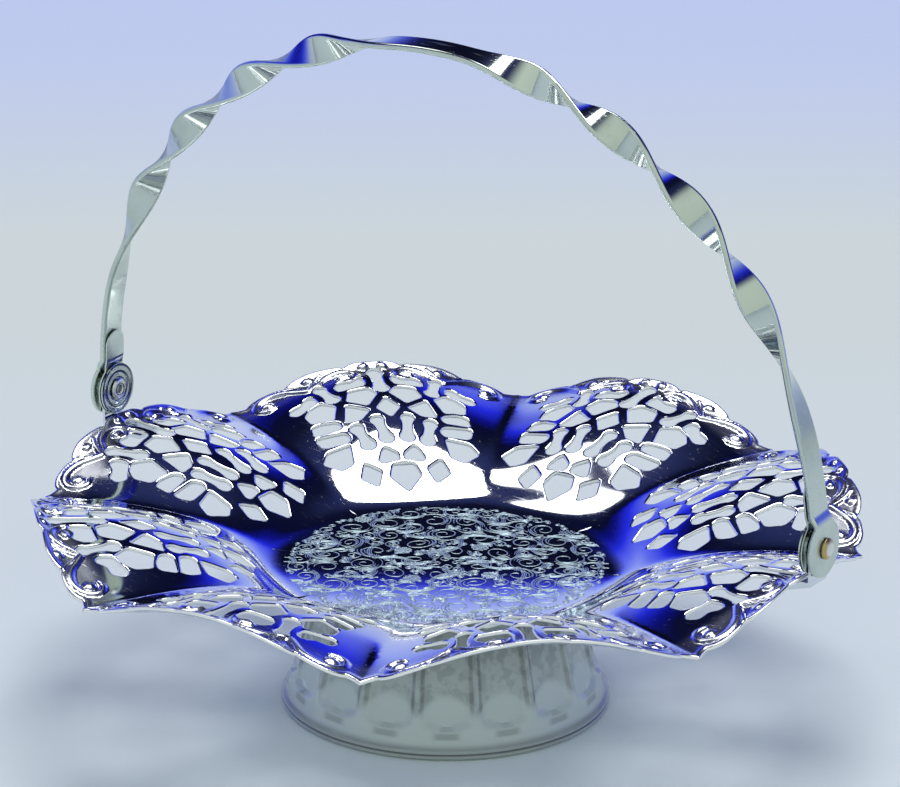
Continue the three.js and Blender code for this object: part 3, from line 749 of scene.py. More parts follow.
def inside(points, outline):
    """Which points lie inside a closed outline."""
    x, y = points.T
    within = np.zeros(len(points), bool)
    for a, b in zip(outline, np.roll(outline, -1, 0)):
        crosses = (a[1] > y) != (b[1] > y)
        if crosses.any():
            at = a[0] + (y - a[1]) / (b[1] - a[1] + 1e-15) * (b[0] - a[0])
            within ^= crosses & (x < at)
    return within


def in_sheet(points, contour, openings):
    """Which points lie inside the contour and in none of the openings."""
    solid = inside(points, contour)
    for hole in openings:
        solid &= ~inside(points, hole)
    return solid


def smooth_line(points, per_span):
    """A Catmull-Rom line through the points."""
    p = np.vstack([2 * points[0] - points[1], points, 2 * points[-1] - points[-2]])
    out = []
    for i in range(1, len(p) - 2):
        for t in np.linspace(0, 1, per_span, endpoint=False):
            out.append(0.5 * (2 * p[i] + (p[i + 1] - p[i - 1]) * t
                              + (2 * p[i - 1] - 5 * p[i] + 4 * p[i + 1] - p[i + 2]) * t ** 2
                              + (3 * p[i] - p[i - 1] - 3 * p[i + 1] + p[i + 2]) * t ** 3))
    out.append(p[-2])
    return np.array(out)


def scroll_relief(points):
    """Height of the pressed scrollwork at each plan point of the lobe along +X, from 0 to 1."""
    total = np.zeros(len(points))
    folded = points.copy()
    folded[:, 1] = np.abs(folded[:, 1])
    near = np.hypot(*folded.T) > WALL_START + 0.84 * (RIM_RADIUS - WALL_START)
    spots = folded[near]
    if not len(spots):
        return total
    best = np.zeros(len(spots))
    for shares, widths, level in SCROLL_STROKES:
        line = smooth_line(to_plan(shares), 6)
        place = np.linspace(0, 1, len(line))
        half = np.interp(place, [0, 0.5, 1], widths)
        distance = np.full(len(spots), 1e9)
        width_here = np.full(len(spots), half[0])
        for i in range(len(line) - 1):
            a, d = line[i], line[i + 1] - line[i]
            t = np.clip(((spots - a) @ d) / max(d @ d, 1e-12), 0, 1)
            gap = np.hypot(*(spots - a - t[:, None] * d).T)
            closer = gap < distance
            distance = np.where(closer, gap, distance)
            width_here = np.where(closer, half[i] + (half[i + 1] - half[i]) * t, width_here)
        share = np.clip(distance / width_here, 0, 1)
        best = np.maximum(best, level * (1 - share ** 2) ** 1.3)
    total[near] = best
    return total


def plan_grid(step, border_step):
    """Points of three triangular grids over one lobe, each with its spacing."""
    grid = []
    for low, high, spacing in ((0, FINE_FROM - 1, WELL_STEP),
                               (FINE_FROM - 1, BORDER_FROM - 0.5, step),
                               (BORDER_FROM - 0.5, PLAN_REACH, border_step)):
        rows = np.arange(-PLAN_HALF_WIDTH, PLAN_HALF_WIDTH, spacing * ROW_SHARE)
        for j, y in enumerate(rows):
            xs = np.arange(0, PLAN_REACH, spacing) + (spacing / 2 if j % 2 else 0)
            row = np.stack([xs, np.full(len(xs), y)], 1)
            radius = np.hypot(*row.T)
            angle = np.abs(np.arctan2(row[:, 1], row[:, 0]))
            clear_side = radius * np.sin(HALF_LOBE - angle) > spacing * 0.45
            kept = row[(radius >= low) & (radius < high) & (angle < HALF_LOBE) & clear_side]
            grid.append(np.column_stack([kept, np.full(len(kept), spacing)]))
    return np.vstack(grid)


def one_lobe(look):
    """The plan mesh of the lobe along +X: its points and triangles, openings and rim."""
    step, border_step = look.mesh_step / MM, look.border_step / MM
    round_width = look.edge_round / MM
    openings = opening_outlines()
    rim_half = smooth_line(to_plan(RIM_SHARES), 4)
    rim = resampled(np.vstack([mirrored(rim_half)[:-1], rim_half]), RIM_STEP, False)
    tip_radius = np.hypot(*to_plan([RIM_SHARES[-1]])[0])
    side_radii = np.concatenate([np.arange(0, FINE_FROM, WELL_STEP),
                                 np.arange(FINE_FROM, BORDER_FROM, step),
                                 np.arange(BORDER_FROM, tip_radius - 0.3, border_step)])
    upper_side = np.stack([side_radii * math.cos(HALF_LOBE),
                           side_radii * math.sin(HALF_LOBE)], 1)
    lower_side = upper_side * np.array([1.0, -1.0])
    # The contour runs from the centre out along the lower side, round the rim and back
    contour = np.vstack([lower_side, rim, upper_side[:0:-1]])
    edges, at = [], 0
    for loop in [contour] + openings:
        n = len(loop)
        edges += [(at + i, at + (i + 1) % n) for i in range(n)]
        at += n
    rings = [o + loop_normals(o) * round_width for o in openings]
    rim_inner = rim[2:-2] - loop_normals(rim)[2:-2] * round_width
    starts = np.vstack([rim[:-1]] + openings)
    ends = np.vstack([rim[1:]] + [np.roll(o, -1, 0) for o in openings])
    grid = plan_grid(step, border_step)
    gap = distance_to_segments(grid[:, :2], starts, ends)
    grid = grid[gap > round_width + 0.3 * grid[:, 2], :2]
    grid = grid[in_sheet(grid, contour, openings)]
    points = np.vstack([contour] + openings + rings + [rim_inner, grid])
    cdt = delaunay_2d_cdt([Vector(p) for p in points], edges, [], 0, 1e-6)
    flat = np.array([v[:] for v in cdt[0]])
    triangles = np.array([f for f in cdt[2] if len(f) == 3])
    kept = in_sheet(flat[triangles].mean(1), contour, openings)
    return flat, triangles[kept], openings, rim


def nearest_edges(flat, openings, rim):
    """Each plan point's distance to the sheet's nearest edge, and the way out there."""
    edge_points = np.vstack(openings + [rim])
    edge_out = np.vstack([-loop_normals(o) for o in openings]
                         + [right_of(np.gradient(rim, axis=0))])
    distance, outward = np.empty(len(flat)), np.empty_like(flat)
    for start in range(0, len(flat), 2000):
        block = slice(start, start + 2000)
        gaps = np.hypot(*(flat[block, None] - edge_points).transpose(2, 0, 1))
        distance[block] = gaps.min(1)
        outward[block] = edge_out[gaps.argmin(1)]
    return distance, outward


def well_shading(flat):
    """The well's skin is faintly dished, most towards the lobes, which only its shading
    shows: the extra slope at each plan point, in both directions."""
    reach = np.hypot(*flat.T)
    away = np.abs(np.arctan2(flat[:, 1], flat[:, 0])) / HALF_LOBE
    to_lobe = ease((reach - WELL_SCOOP_START) / (WELL_SCOOP_FULL - WELL_SCOOP_START))
    dished = WELL_DISHING * reach / WELL_EDGE
    dished += WELL_SCOOP * to_lobe * np.maximum(0, np.cos(away * math.pi / 2))
    dished *= np.clip((WALL_START + 1.5 - reach) / 4.5, 0, 1) / np.maximum(reach, 1)
    return dished[:, None] * flat


def joined_lobes(flat, triangles, skins):
    """Turned copies of one lobe's upper and lower skin, joined where they meet, with a wall
    at each edge that has one face only: points, faces, normals and the number of walls."""
    points, normals, faces = [], [], []
    index, open_edges = {}, {}
    for lobe in range(LOBES):
        angle = lobe * 2 * HALF_LOBE
        c, s = math.cos(angle), math.sin(angle)
        corners = []
        for side, (heights, directions) in enumerate(skins):
            corners.append([])
            for (x, y), z, n in zip(flat, heights, directions):
                p = (x * c - y * s, x * s + y * c, z)
                k = index.setdefault((round(p[0], 3), round(p[1], 3), side), len(points))
                if k == len(points):
                    points.append(p)
                    normals.append(np.zeros(3))
                normals[k] += (n[0] * c - n[1] * s, n[0] * s + n[1] * c, n[2])
                corners[side].append(k)
        top, bottom = corners
        for i, j, k in triangles:
            faces += [(top[i], top[j], top[k]), (bottom[i], bottom[k], bottom[j])]
            for p, q in ((i, j), (j, k), (k, i)):
                if open_edges.pop((top[q], top[p]), None) is None:
                    open_edges[top[p], top[q]] = (bottom[p], bottom[q])
    walls = [(b, a, c, d) for (a, b), (c, d) in open_edges.items()]
    return points, faces + walls, unit(np.array(normals)), len(walls)


def build_dish(look, material):
    """The whole pierced dish, as one closed sheet with rounded edges and pressed relief."""
    flat, triangles, openings, rim = one_lobe(look)
    areas = np.cross(flat[triangles[:, 1]] - flat[triangles[:, 0]],
                     flat[triangles[:, 2]] - flat[triangles[:, 0]])
    triangles = np.where((areas < 0)[:, None], triangles[:, ::-1], triangles)
    triangles = triangles[np.abs(areas) > 1e-7]
    from_edge, outward = nearest_edges(flat, openings, rim)
    on_edge = from_edge < ON_EDGE

    def relief_at(points):
        ridge = np.zeros(len(points))
        near_rim = np.hypot(*points.T) > RIDGE_FROM
        if near_rim.any():
            gap = distance_to_segments(points[near_rim], rim[:-1], rim[1:])
            ridge[near_rim] = RIDGE_SHARE * np.exp(-((gap - RIDGE_WIDTH) / RIDGE_WIDTH) ** 2)
        return np.maximum(scroll_relief(points), ridge) * (look.relief / MM)

    def top_at(points):
        return height_of_dish(points[:, 0], points[:, 1]) + relief_at(points)

    def slopes(surface, reach):
        return np.stack([(surface(flat + step) - surface(flat - step)) / (2 * reach)
                         for step in ((reach, 0), (0, reach))], 1)

    base = top_at(flat)
    slope = slopes(lambda p: height_of_dish(p[:, 0], p[:, 1]), FORM_REACH)
    slope += slopes(relief_at, RELIEF_REACH)
    slope += well_shading(flat)
    up = unit(np.column_stack([-slope, np.ones(len(flat))]))
    drop = np.where(on_edge, look.edge_drop / MM, 0.0)
    thickness = look.sheet / MM
    top_z = base - drop
    bottom_z = base - thickness + drop
    lean = np.column_stack([outward, np.zeros(len(flat))]) * on_edge[:, None]
    top_normals, bottom_normals = unit(up + lean), unit(lean - up)

    skins = (top_z, top_normals), (bottom_z, bottom_normals)
    points, faces, normals, walls = joined_lobes(flat, triangles, skins)
    return mesh_object("pierced_dish", points, faces, normals, material, walls)


def spiral(centre, outer, inner, start, turns, hand):
    """A scroll's line from its tail at the outer radius in to its eye."""
    count = max(8, int(abs(turns) * 26))
    out = []
    for i in range(count + 1):
        t = i / count
        radius = outer + (inner - outer) * t ** 0.8
        angle = start + hand * 2 * math.pi * turns * t
        out.append((centre[0] + radius * math.cos(angle), centre[1] + radius * math.sin(angle)))
    return np.array(out)


def polar(radius, degrees):
    return np.array([radius * math.cos(math.radians(degrees)),
                     radius * math.sin(math.radians(degrees))])


def arc_line(centre, radius, start, sweep):
    angles = np.linspace(start, start + sweep, max(4, int(abs(sweep) * radius * 1.6)))
    return centre + radius * np.stack([np.cos(angles), np.sin(angles)], 1)


def leafy_scroll(centre, size, start, hand, chance):
    """A squashed scroll with echo lines in its back, and a tail that curves the other way
    and is drawn as a bundle of lines on the larger ones."""
    local = [spiral((0.0, 0.0), size, 0.13 * size, start, chance.uniform(1.1, 2.3), hand)]
    for k in range(1, min(4, int(size / 1.1))):
        local.append(arc_line(np.zeros(2), size * (1.06 - 0.17 * k),
                              start + hand * chance.uniform(0.0, 1.2),
                              hand * chance.uniform(1.0, 2.8)))
    root = size * np.array([math.cos(start), math.sin(start)])
    bend = size * chance.uniform(0.7, 1.2)
    for k in range(3 if size > 1.6 else 1):
        radius = bend + 0.55 * k
        turn_centre = root * (1 + bend / size)
        local.append(arc_line(turn_centre, radius, start + math.pi,
                              hand * chance.uniform(1.2, 2.4)))
    tilt, squash = chance.uniform(0, math.pi), chance.uniform(0.7, 1.0)
    c, s = math.cos(tilt), math.sin(tilt)
    shape = np.array([[c * c + squash * s * s, (1 - squash) * c * s],
                      [(1 - squash) * c * s, s * s + squash * c * c]])
    return [centre + line @ shape for line in local]


def lattice_patch(centre, size, turn, step=0.95):
    """Crossed lines within a disc."""
    lines = []
    for lean in (0.55, -0.55):
        along = np.array([math.cos(turn + lean), math.sin(turn + lean)])
        aside = np.array([-along[1], along[0]])
        for k in np.arange(-size + step / 2, size, step):
            half = math.sqrt(max(0.0, size ** 2 - k ** 2))
            if half > 0.6:
                lines.append(np.array([centre + aside * k - along * half,
                                       centre + aside * k + along * half]))
    return lines


def well_lines(seed):
    """All the engraved lines of the well. Scrolls of falling size are fitted in wherever they
    have room beside their own quarter-turn copies."""
    chance = random.Random(seed)
    discs, lines = np.array([[500.0, 500.0, 0.0]]), []
    quarter = np.array([[0.0, -1.0], [1.0, 0.0]])
    for size, tries, lattice_share in MOTIF_SIZES:
        for _ in range(tries):
            radius = (ENGRAVED_EDGE - 0.7) * math.sqrt(chance.random())
            centre = polar(radius, 90 * chance.random())
            start, hand = 2 * math.pi * chance.random(), chance.choice((-1, 1))
            lattice = chance.random() < lattice_share
            if radius + size > ENGRAVED_EDGE:
                continue
            copies = [centre]
            for _ in range(3):
                copies.append(quarter @ copies[-1])
            if np.hypot(*(copies[0] - copies[1])) < 1.96 * size:
                continue
            apart = np.hypot(discs[:, 0] - centre[0], discs[:, 1] - centre[1])
            if (apart < (size + discs[:, 2]) * 0.77).any():
                continue
            discs = np.vstack([discs, [(c[0], c[1], size) for c in copies]])
            motif = (lattice_patch(centre, size * 0.92, start) if lattice
                     else leafy_scroll(centre, size * 0.93, start, hand, chance))
            for line in motif:
                line = line[np.hypot(line[:, 0], line[:, 1]) < ENGRAVED_EDGE]
                if len(line) < 2:
                    continue
                for _ in range(4):
                    lines.append(line)
                    line = line @ quarter.T
    return lines


def build_engraving(width, rise, seed, material):
    """The engraved lines, each a low ridge of three points across."""
    points, faces, normals = [], [], []
    for number, line in enumerate(well_lines(seed)):
        line = resampled(line, 0.4, False)
        side = -right_of(np.gradient(line, axis=0))
        place_on = np.linspace(0, 1, len(line))
        half = width / 2 * (0.55 + 0.75 * np.sin(place_on * math.pi) ** 0.5)
        half *= 0.8 + 0.4 * ((number * 37) % 11) / 10
        start = len(points)
        for p, s, h in zip(line, side, half):
            for sign in (-1, 0, 1):
                at = p + s * h * sign
                points.append((at[0], at[1], WELL_HEIGHT + 0.02 + (rise if sign == 0 else 0)))
                normals.append(Vector((s[0] * sign * 0.8, s[1] * sign * 0.8, 1)).normalized())
        for i in range(len(line) - 1):
            for j in range(2):
                a = start + i * 3 + j
                faces.append((a, a + 3, a + 4, a + 1))
    return mesh_object("well_engraving", points, faces, normals, material)


# The handle's path

def arch_point(t):
    return ARCH_HALF_SPAN * math.cos(t), ARCH_HEIGHT * math.sin(t)


def arch_x(height):
    return ARCH_HALF_SPAN * math.sqrt(max(0.0, 1 - (height / ARCH_HEIGHT) ** 2))


def leaned(x, across, height):
    """A point of the handle's own upright frame, leaned about the pivot axis."""
    c, s = math.cos(HANDLE_LEAN), math.sin(HANDLE_LEAN)
    return Vector((x, across * c - height * s, PIVOT_HEIGHT + across * s + height * c))


def leaned_direction(v):
    c, s = math.cos(HANDLE_LEAN), math.sin(HANDLE_LEAN)
    return Vector((v[0], v[1] * c - v[2] * s, v[1] * s + v[2] * c))


def twist_share(distance, arch_length):
    """How much of the twist is done at a distance from one pivot."""
    length = arch_length / 2 - TWIST_START - CROWN_PLAIN
    along = min(max(distance - TWIST_START, 0.0), length)
    left = length - along
    steady = length - (TWIST_EASE_LOW + TWIST_EASE_HIGH) / 2
    if along < TWIST_EASE_LOW:
        return along ** 2 / (2 * TWIST_EASE_LOW * steady)
    if left < TWIST_EASE_HIGH:
        return 1 - left ** 2 / (2 * TWIST_EASE_HIGH * steady)
    return (along - TWIST_EASE_LOW / 2) / steady


def rounded_section(width, thickness, radius, per_corner=4):
    """Points and normals of a rounded rectangle, across by through."""
    points, normals = [], []
    for sx, sy, start in ((1, 1, 0), (-1, 1, 90), (-1, -1, 180), (1, -1, 270)):
        for k in range(per_corner + 1):
            angle = math.radians(start + 90 * k / per_corner)
            n = (math.cos(angle), math.sin(angle))
            points.append((sx * (width / 2 - radius) + radius * n[0],
                           sy * (thickness / 2 - radius) + radius * n[1]))
            normals.append(n)
    return points, normals


def cheek_heights(radius):
    """Heights of a round cheek's sections, from its lowest point to just over its middle."""
    return [radius * math.sin(-math.pi / 2 + math.radians(CHEEK_FIRST) + math.pi / 2 * k / 29)
            for k in range(30)]


def crease_share(height):
    """0 on the cheek and 1 on the arch, over the crease between them."""
    return ease((height - CREASE_LOW) / (CREASE_HIGH - CREASE_LOW))


def joggled(height, cheek_x, off_arch):
    """X of a plate's middle that steps from its cheek in to the arch, and its direction."""
    def x_at(h):
        t = crease_share(h)
        return cheek_x * (1 - t) + (arch_x(h) - off_arch) * t

    return x_at(height), (x_at(height + SLOPE_REACH) - x_at(height - SLOPE_REACH),
                          2 * SLOPE_REACH)


def strip_half_width(height, radius, half):
    """The strip widens into its round cheek round the pivot."""
    disc = math.sqrt(max(0.0, radius ** 2 - height ** 2)) if abs(height) < radius else 0.0
    return disc if height < 0 else max(disc, half)


def section_at(x, height, tangent, half, thickness, corner, turn=0.0):
    """A plate's section: its middle, its directions across and through, and its shape."""
    along = Vector((tangent[0], 0, tangent[1])).normalized()
    side = Vector((0, 1, 0))
    outward = side.cross(along)
    return (Vector((x, 0, height)),
            side * math.cos(turn) + along.cross(side) * math.sin(turn),
            outward * math.cos(turn) + along.cross(outward) * math.sin(turn),
            rounded_section(2 * half, thickness, min(corner, 0.9 * half)))


def plate_mesh(name, sections, material):
    """A plate swept through its sections, leaned with the handle."""
    rings, normals = [], []
    for point, across, through, (points, out) in sections:
        rings.append([leaned(*(point + across * a + through * b)) for a, b in points])
        normals.append([leaned_direction(across * a + through * b) for a, b in out])
    return mesh_object(name, *swept(rings, normals), material)


def cheek_sections(sign, half_width, thickness):
    """The strip's sections from one cheek's lowest point to the arch's start, or back."""
    heights = [min(h, 0.0) for h in cheek_heights(CHEEK_RADIUS)]
    heights += list(np.linspace(0.25, CREASE_HIGH, 36))
    made = []
    for height in heights[::sign]:
        half = strip_half_width(height, CHEEK_RADIUS, half_width)
        x, (run, rise) = joggled(height, CHEEK_INNER + CHEEK_THICK / 2, 0.0)
        t = crease_share(height)
        thick = CHEEK_THICK * (1 - t) + thickness * t
        made.append(section_at(sign * x, height, (run, sign * rise), half, thick,
                               CORNER_SHARE * thick))
    return made


def build_handle(look, material):
    """The bail: a round cheek, the twisted strip and the other cheek in one sweep."""
    half_width, thickness = look.strip_width / MM / 2, look.strip_thickness / MM
    angles = [math.pi * i / ARCH_SAMPLES for i in range(ARCH_SAMPLES + 1)]
    places = [arch_point(t) for t in angles]
    lengths = [0.0]
    for a, b in zip(places, places[1:]):
        lengths.append(lengths[-1] + math.hypot(b[0] - a[0], b[1] - a[1]))
    total = lengths[-1]
    start = CREASE_HIGH + 0.4
    arch = []
    for i in range(look.steps + 1):
        distance = start + (total - 2 * start) * i / look.steps
        t = np.interp(distance, lengths, angles)
        tangent = (-ARCH_HALF_SPAN * math.sin(t), ARCH_HEIGHT * math.cos(t))
        turn = 2 * math.pi * TWIST_TURNS * (twist_share(distance, total)
                                            + 1 - twist_share(total - distance, total))
        arch.append(section_at(*arch_point(t), tangent, half_width, thickness,
                               CORNER_SHARE * thickness, turn))
    right, left = (cheek_sections(sign, half_width, thickness) for sign in (1, -1))
    return plate_mesh("twisted_strip", right + arch + left, material)


def build_leaf(look, material, sign, name):
    """The short inner leaf: a round cheek, a strap on the strip and a round top."""
    off_arch = (look.strip_thickness / MM + LEAF_THICK) / 2 + GAP
    strap_end = LEAF_TOP - LEAF_HALF_WIDTH
    heights = cheek_heights(LEAF_RADIUS) + list(np.linspace(0.25, strap_end, 40))
    heights += [strap_end + LEAF_HALF_WIDTH * math.sin(a)
                for a in np.linspace(0.08, math.pi / 2 - 0.01, 16)]
    sections = []
    for height in heights:
        if height > strap_end:
            half = math.sqrt(max(0.0, LEAF_HALF_WIDTH ** 2 - (height - strap_end) ** 2))
        else:
            half = strip_half_width(height, LEAF_RADIUS, LEAF_HALF_WIDTH)
        x, (run, rise) = joggled(height, LEAF_INNER + LEAF_THICK / 2, off_arch)
        sections.append(section_at(sign * x, height, (sign * run, rise), half, LEAF_THICK, 0.2))
    return plate_mesh(name, sections, material)


def turned_on_pivot(name, profile, sign, material, sides):
    """A turned piece on the pivot axis, from [radius, x] points round its section."""
    points, faces = turned(profile, sides)
    out = []
    for x, y, z in points:
        p = leaned(0, x, y)
        out.append((sign * z, p[1], p[2]))
    piece = mesh_object(name, out, faces, None, material)
    settle_normals(piece, 0.9)
    return piece


def build_ring_washer(sign, material, name):
    """A washer with raised rings, given by radius and depth."""
    rings = [(1.8, 0.0), (2.6, 0.0), (2.9, -0.14), (3.2, 0.0), (4.0, 0.02), (4.3, -0.12),
             (4.7, -0.12), (5.0, 0.02), (5.9, 0.04), (6.2, -0.08), (6.5, 0.02), (6.9, 0.03),
             (7.1, 0.12)]
    profile = [(r, WASHER_INNER + 0.06 - h * 0.5) for r, h in rings]
    profile += [(7.1, WASHER_OUTER), (1.8, WASHER_OUTER)]
    return turned_on_pivot(name, profile, sign, material, 96)


def build_rivet(sign, material, name):
    """A rivet with a low domed head outside and a spread tail inside."""
    tail = [(0, 1.7), (1.15, 1.7), (1.15, -0.3), (1.25, -0.45), (1.4, -0.5), (2.2, -0.46),
            (2.75, -0.3), (3.0, -0.05), (2.95, 0), (1.5, 0)]
    head = [(1.5, 0), (2.75, 0), (2.8, 0.12)]
    for k in range(1, 11):
        a = math.pi / 2 * k / 10
        head.append((2.8 * math.cos(a) ** 0.9 if k < 10 else 0, 0.12 + 1.15 * math.sin(a)))
    profile = [(r, RIVET_TAIL + x) for r, x in tail] + [(r, RIVET_HEAD + x) for r, x in head]
    return turned_on_pivot(name, profile, sign, material, 48)


# The glass foot

def foot_profile_radius(z):
    """Radius of the foot's plain outer cone at a height."""
    bottom, top = CONE_RADII
    return bottom + (top - bottom) * (z - CONE_START) / (FOOT_HEIGHT - CONE_START)


def build_foot(look, material):
    """The hollow pressed-glass foot: beaded base ring, plain band and sixteen flutes."""
    outer = [(40.9, 0.0), (42.3, 0.0), (43.2, 0.12), (43.9, 0.45), (44.25, 0.95),
             (44.1, 1.4), (43.75, 1.62), (43.95, 1.85), (44.1, 2.2), (43.95, 2.6),
             (43.4, 2.9), (42.9, 3.1), (42.62, 3.6)]
    zs = list(np.linspace(4.4, 8.0, 6)) + list(np.linspace(8.8, 34.2, 24)) + [34.9, 35.3]
    outer += [(foot_profile_radius(z), z) for z in zs]
    outer += [(34.0, FOOT_HEIGHT), (32.0, FOOT_HEIGHT), (4.0, FOOT_HEIGHT), (4.0, FOOT_ROOF),
              (28.5, FOOT_ROOF), (29.6, FOOT_ROOF - 0.5), (30.4, FOOT_ROOF - 1.6)]
    outer += [(np.interp(z, HOLLOW_HEIGHTS[::-1], HOLLOW_RADII[::-1]), z)
              for z in np.linspace(*HOLLOW_HEIGHTS, 28)]
    outer += [(39.3, 0.2), (39.8, 0.0)]
    points, faces = turned(outer, FLUTES * 20)
    depth = look.flute_depth / MM
    moved = []
    for x, y, z in points:
        radius = math.hypot(x, y)
        angle = math.atan2(y, x)
        turn = (angle * FLUTES / (2 * math.pi)) % 1.0
        from_ridge = min(turn, 1 - turn) * 2
        if 6.5 < z < 35.2 and radius > 33.0:
            # A flute ends below in an arch between two narrow round-ended ribs
            start = FLUTE_START + FLUTE_ARCH * (1 - math.sqrt(1 - (1 - from_ridge) ** 2))
            fade = ease((z - start) / FLUTE_FADE)
            side = min(1.0, from_ridge / 0.2)
            hollow = math.cos(min(1.0, from_ridge) * math.pi / 2) ** 2
            dip = depth * (ease(side) + 0.45 * ease(side) * (1 - hollow))
            rib = 0.85 * depth * math.exp(-((from_ridge - RIB_PLACE) / 0.055) ** 2)
            scale = 1 - (dip * fade - rib * fade) / radius
            x, y = x * scale, y * scale
        elif 1.5 < z < 29.0 and radius < 39.0:
            # The hollow's wall is faintly scalloped between the flutes
            swell = 0.45 * depth * math.cos(2 * math.pi * turn) * ease((z - 1.5) / 4)
            scale = 1 + swell / radius
            x, y = x * scale, y * scale
        moved.append((x, y, z))
    foot = mesh_object("fluted_glass_foot", moved, faces, None, material)
    settle_normals(foot, 0.9)
    return foot


# Operators, one for each piece or group of like pieces

class BONBON_OT_dish(bpy.types.Operator):
    """Make the pierced chrome dish"""

    bl_idname = "bonbon.dish"
    bl_label = "Pierced dish"

    def execute(self, context):
        look = context.scene.bonbon_dish
        plate = chrome_plate("dish_chrome", tuple(look.plate_colour), 0.045, 1.0, True)
        dish = build_dish(look, plate)
        dish.data.materials.append(cut_edge_highlight("cut_edge_highlight", tuple(look.edge_highlight_colour)))
        place(dish, DISH_BODY, "chrome", "pierced_bowl")
        return {"FINISHED"}


class BONBON_OT_engraving(bpy.types.Operator):
    """Engrave the scrolls of the well"""

    bl_idname = "bonbon.engraving"
    bl_label = "Well engraving"

    def execute(self, context):
        look = context.scene.bonbon_engraving
        lines = build_engraving(look.line_width / MM, look.line_rise / MM, look.seed,
                                engraved_line("engraved_chrome"))
        place(lines, DISH_BODY, "chrome")
        return {"FINISHED"}


class BONBON_OT_foot(bpy.types.Operator):
    """Make the fluted glass foot"""

    bl_idname = "bonbon.foot"
    bl_label = "Glass foot"

    def execute(self, context):
        look = context.scene.bonbon_foot
        foot = build_foot(look, pressed_glass("foot_glass", tuple(look.tint)))
        place(foot, DISH_BODY, "glass", "glass_foot")
        return {"FINISHED"}


class BONBON_OT_fastening(bpy.types.Operator):
    """Finish the stud, gasket, washers and nut under the well, and the two rim lugs"""

    bl_idname = "bonbon.fastening"
    bl_label = "Fastening and lugs"

    def execute(self, context):
        look = context.scene.bonbon_dish
        steel = bare_steel("fastening_steel", (0.55, 0.57, 0.58), 0.3)
        cork = pressed_sheet("gasket_cork", (0.5, 0.34, 0.2), (0.26, 0.16, 0.09), 900.0)
        fibre = pressed_sheet("washer_fibre", (0.4, 0.12, 0.09), (0.25, 0.06, 0.05), 2200.0)
        plate = chrome_plate("lug_chrome", tuple(look.plate_colour), 0.06, 1.0)
        finishes = {
            "mounting_stud": steel, "steel_washer": steel, "hex_nut": steel,
            "cork_gasket": cork, "fibre_washer": fibre,
            "rim_lug_right": plate, "rim_lug_left": plate,
        }
        for name, material in finishes.items():
            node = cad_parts[name]
            node.data.materials.clear()
            node.data.materials.append(material)
            bevel = node.modifiers.new("edge", "BEVEL")
            bevel.width = 0.12 * MM
            bevel.segments = 2
            bevel.limit_method = "ANGLE"
            bevel.harden_normals = True
        return {"FINISHED"}


class BONBON_OT_handle(bpy.types.Operator):
    """Make the twisted strip bail"""

    bl_idname = "bonbon.handle"
    bl_label = "Twisted strip"

    def execute(self, context):
        look = context.scene.bonbon_handle
        plate = chrome_plate("strip_chrome", tuple(look.plate_colour), 0.10, 1.6,
                             dull_below=0.088)
        strip = build_handle(look, plate)
        place(strip, HANDLE_BODY, "handle_chrome", "handle_strip")
        return {"FINISHED"}


class BONBON_OT_hinges(bpy.types.Operator):
    """Make the leaves, ringed washers and rivets of both hinges"""

    bl_idname = "bonbon.hinges"
    bl_label = "Hinges"

    def execute(self, context):
        look = context.scene.bonbon_handle
        plate = chrome_plate("hinge_chrome", tuple(look.plate_colour), 0.12, 1.8)
        brass = plated_brass("rivet_brass")
        for side, sign in (("right", 1), ("left", -1)):
            leaf = build_leaf(look, plate, sign, "leaf_" + side)
            place(leaf, HANDLE_BODY, "handle_chrome", "inner_leaf_" + side)
            washer = build_ring_washer(sign, plate, "washer_" + side)
            place(washer, HANDLE_BODY, "handle_chrome", "ring_washer_" + side)
            rivet = build_rivet(sign, brass, "rivet_" + side)
            place(rivet, HANDLE_BODY, "brass", "pivot_rivet_" + side)
        return {"FINISHED"}


# The stage, set out from the camera's own heading

def heading(azimuth, elevation):
    """A direction from the bowl: azimuth in degrees to the right of straight back."""
    a, e = math.radians(azimuth), math.radians(elevation)
    v = Vector((math.sin(a) * math.cos(e), math.cos(a) * math.cos(e), math.sin(e)))
    return Matrix.Rotation(CAMERA_TURN, 3, "Z") @ v


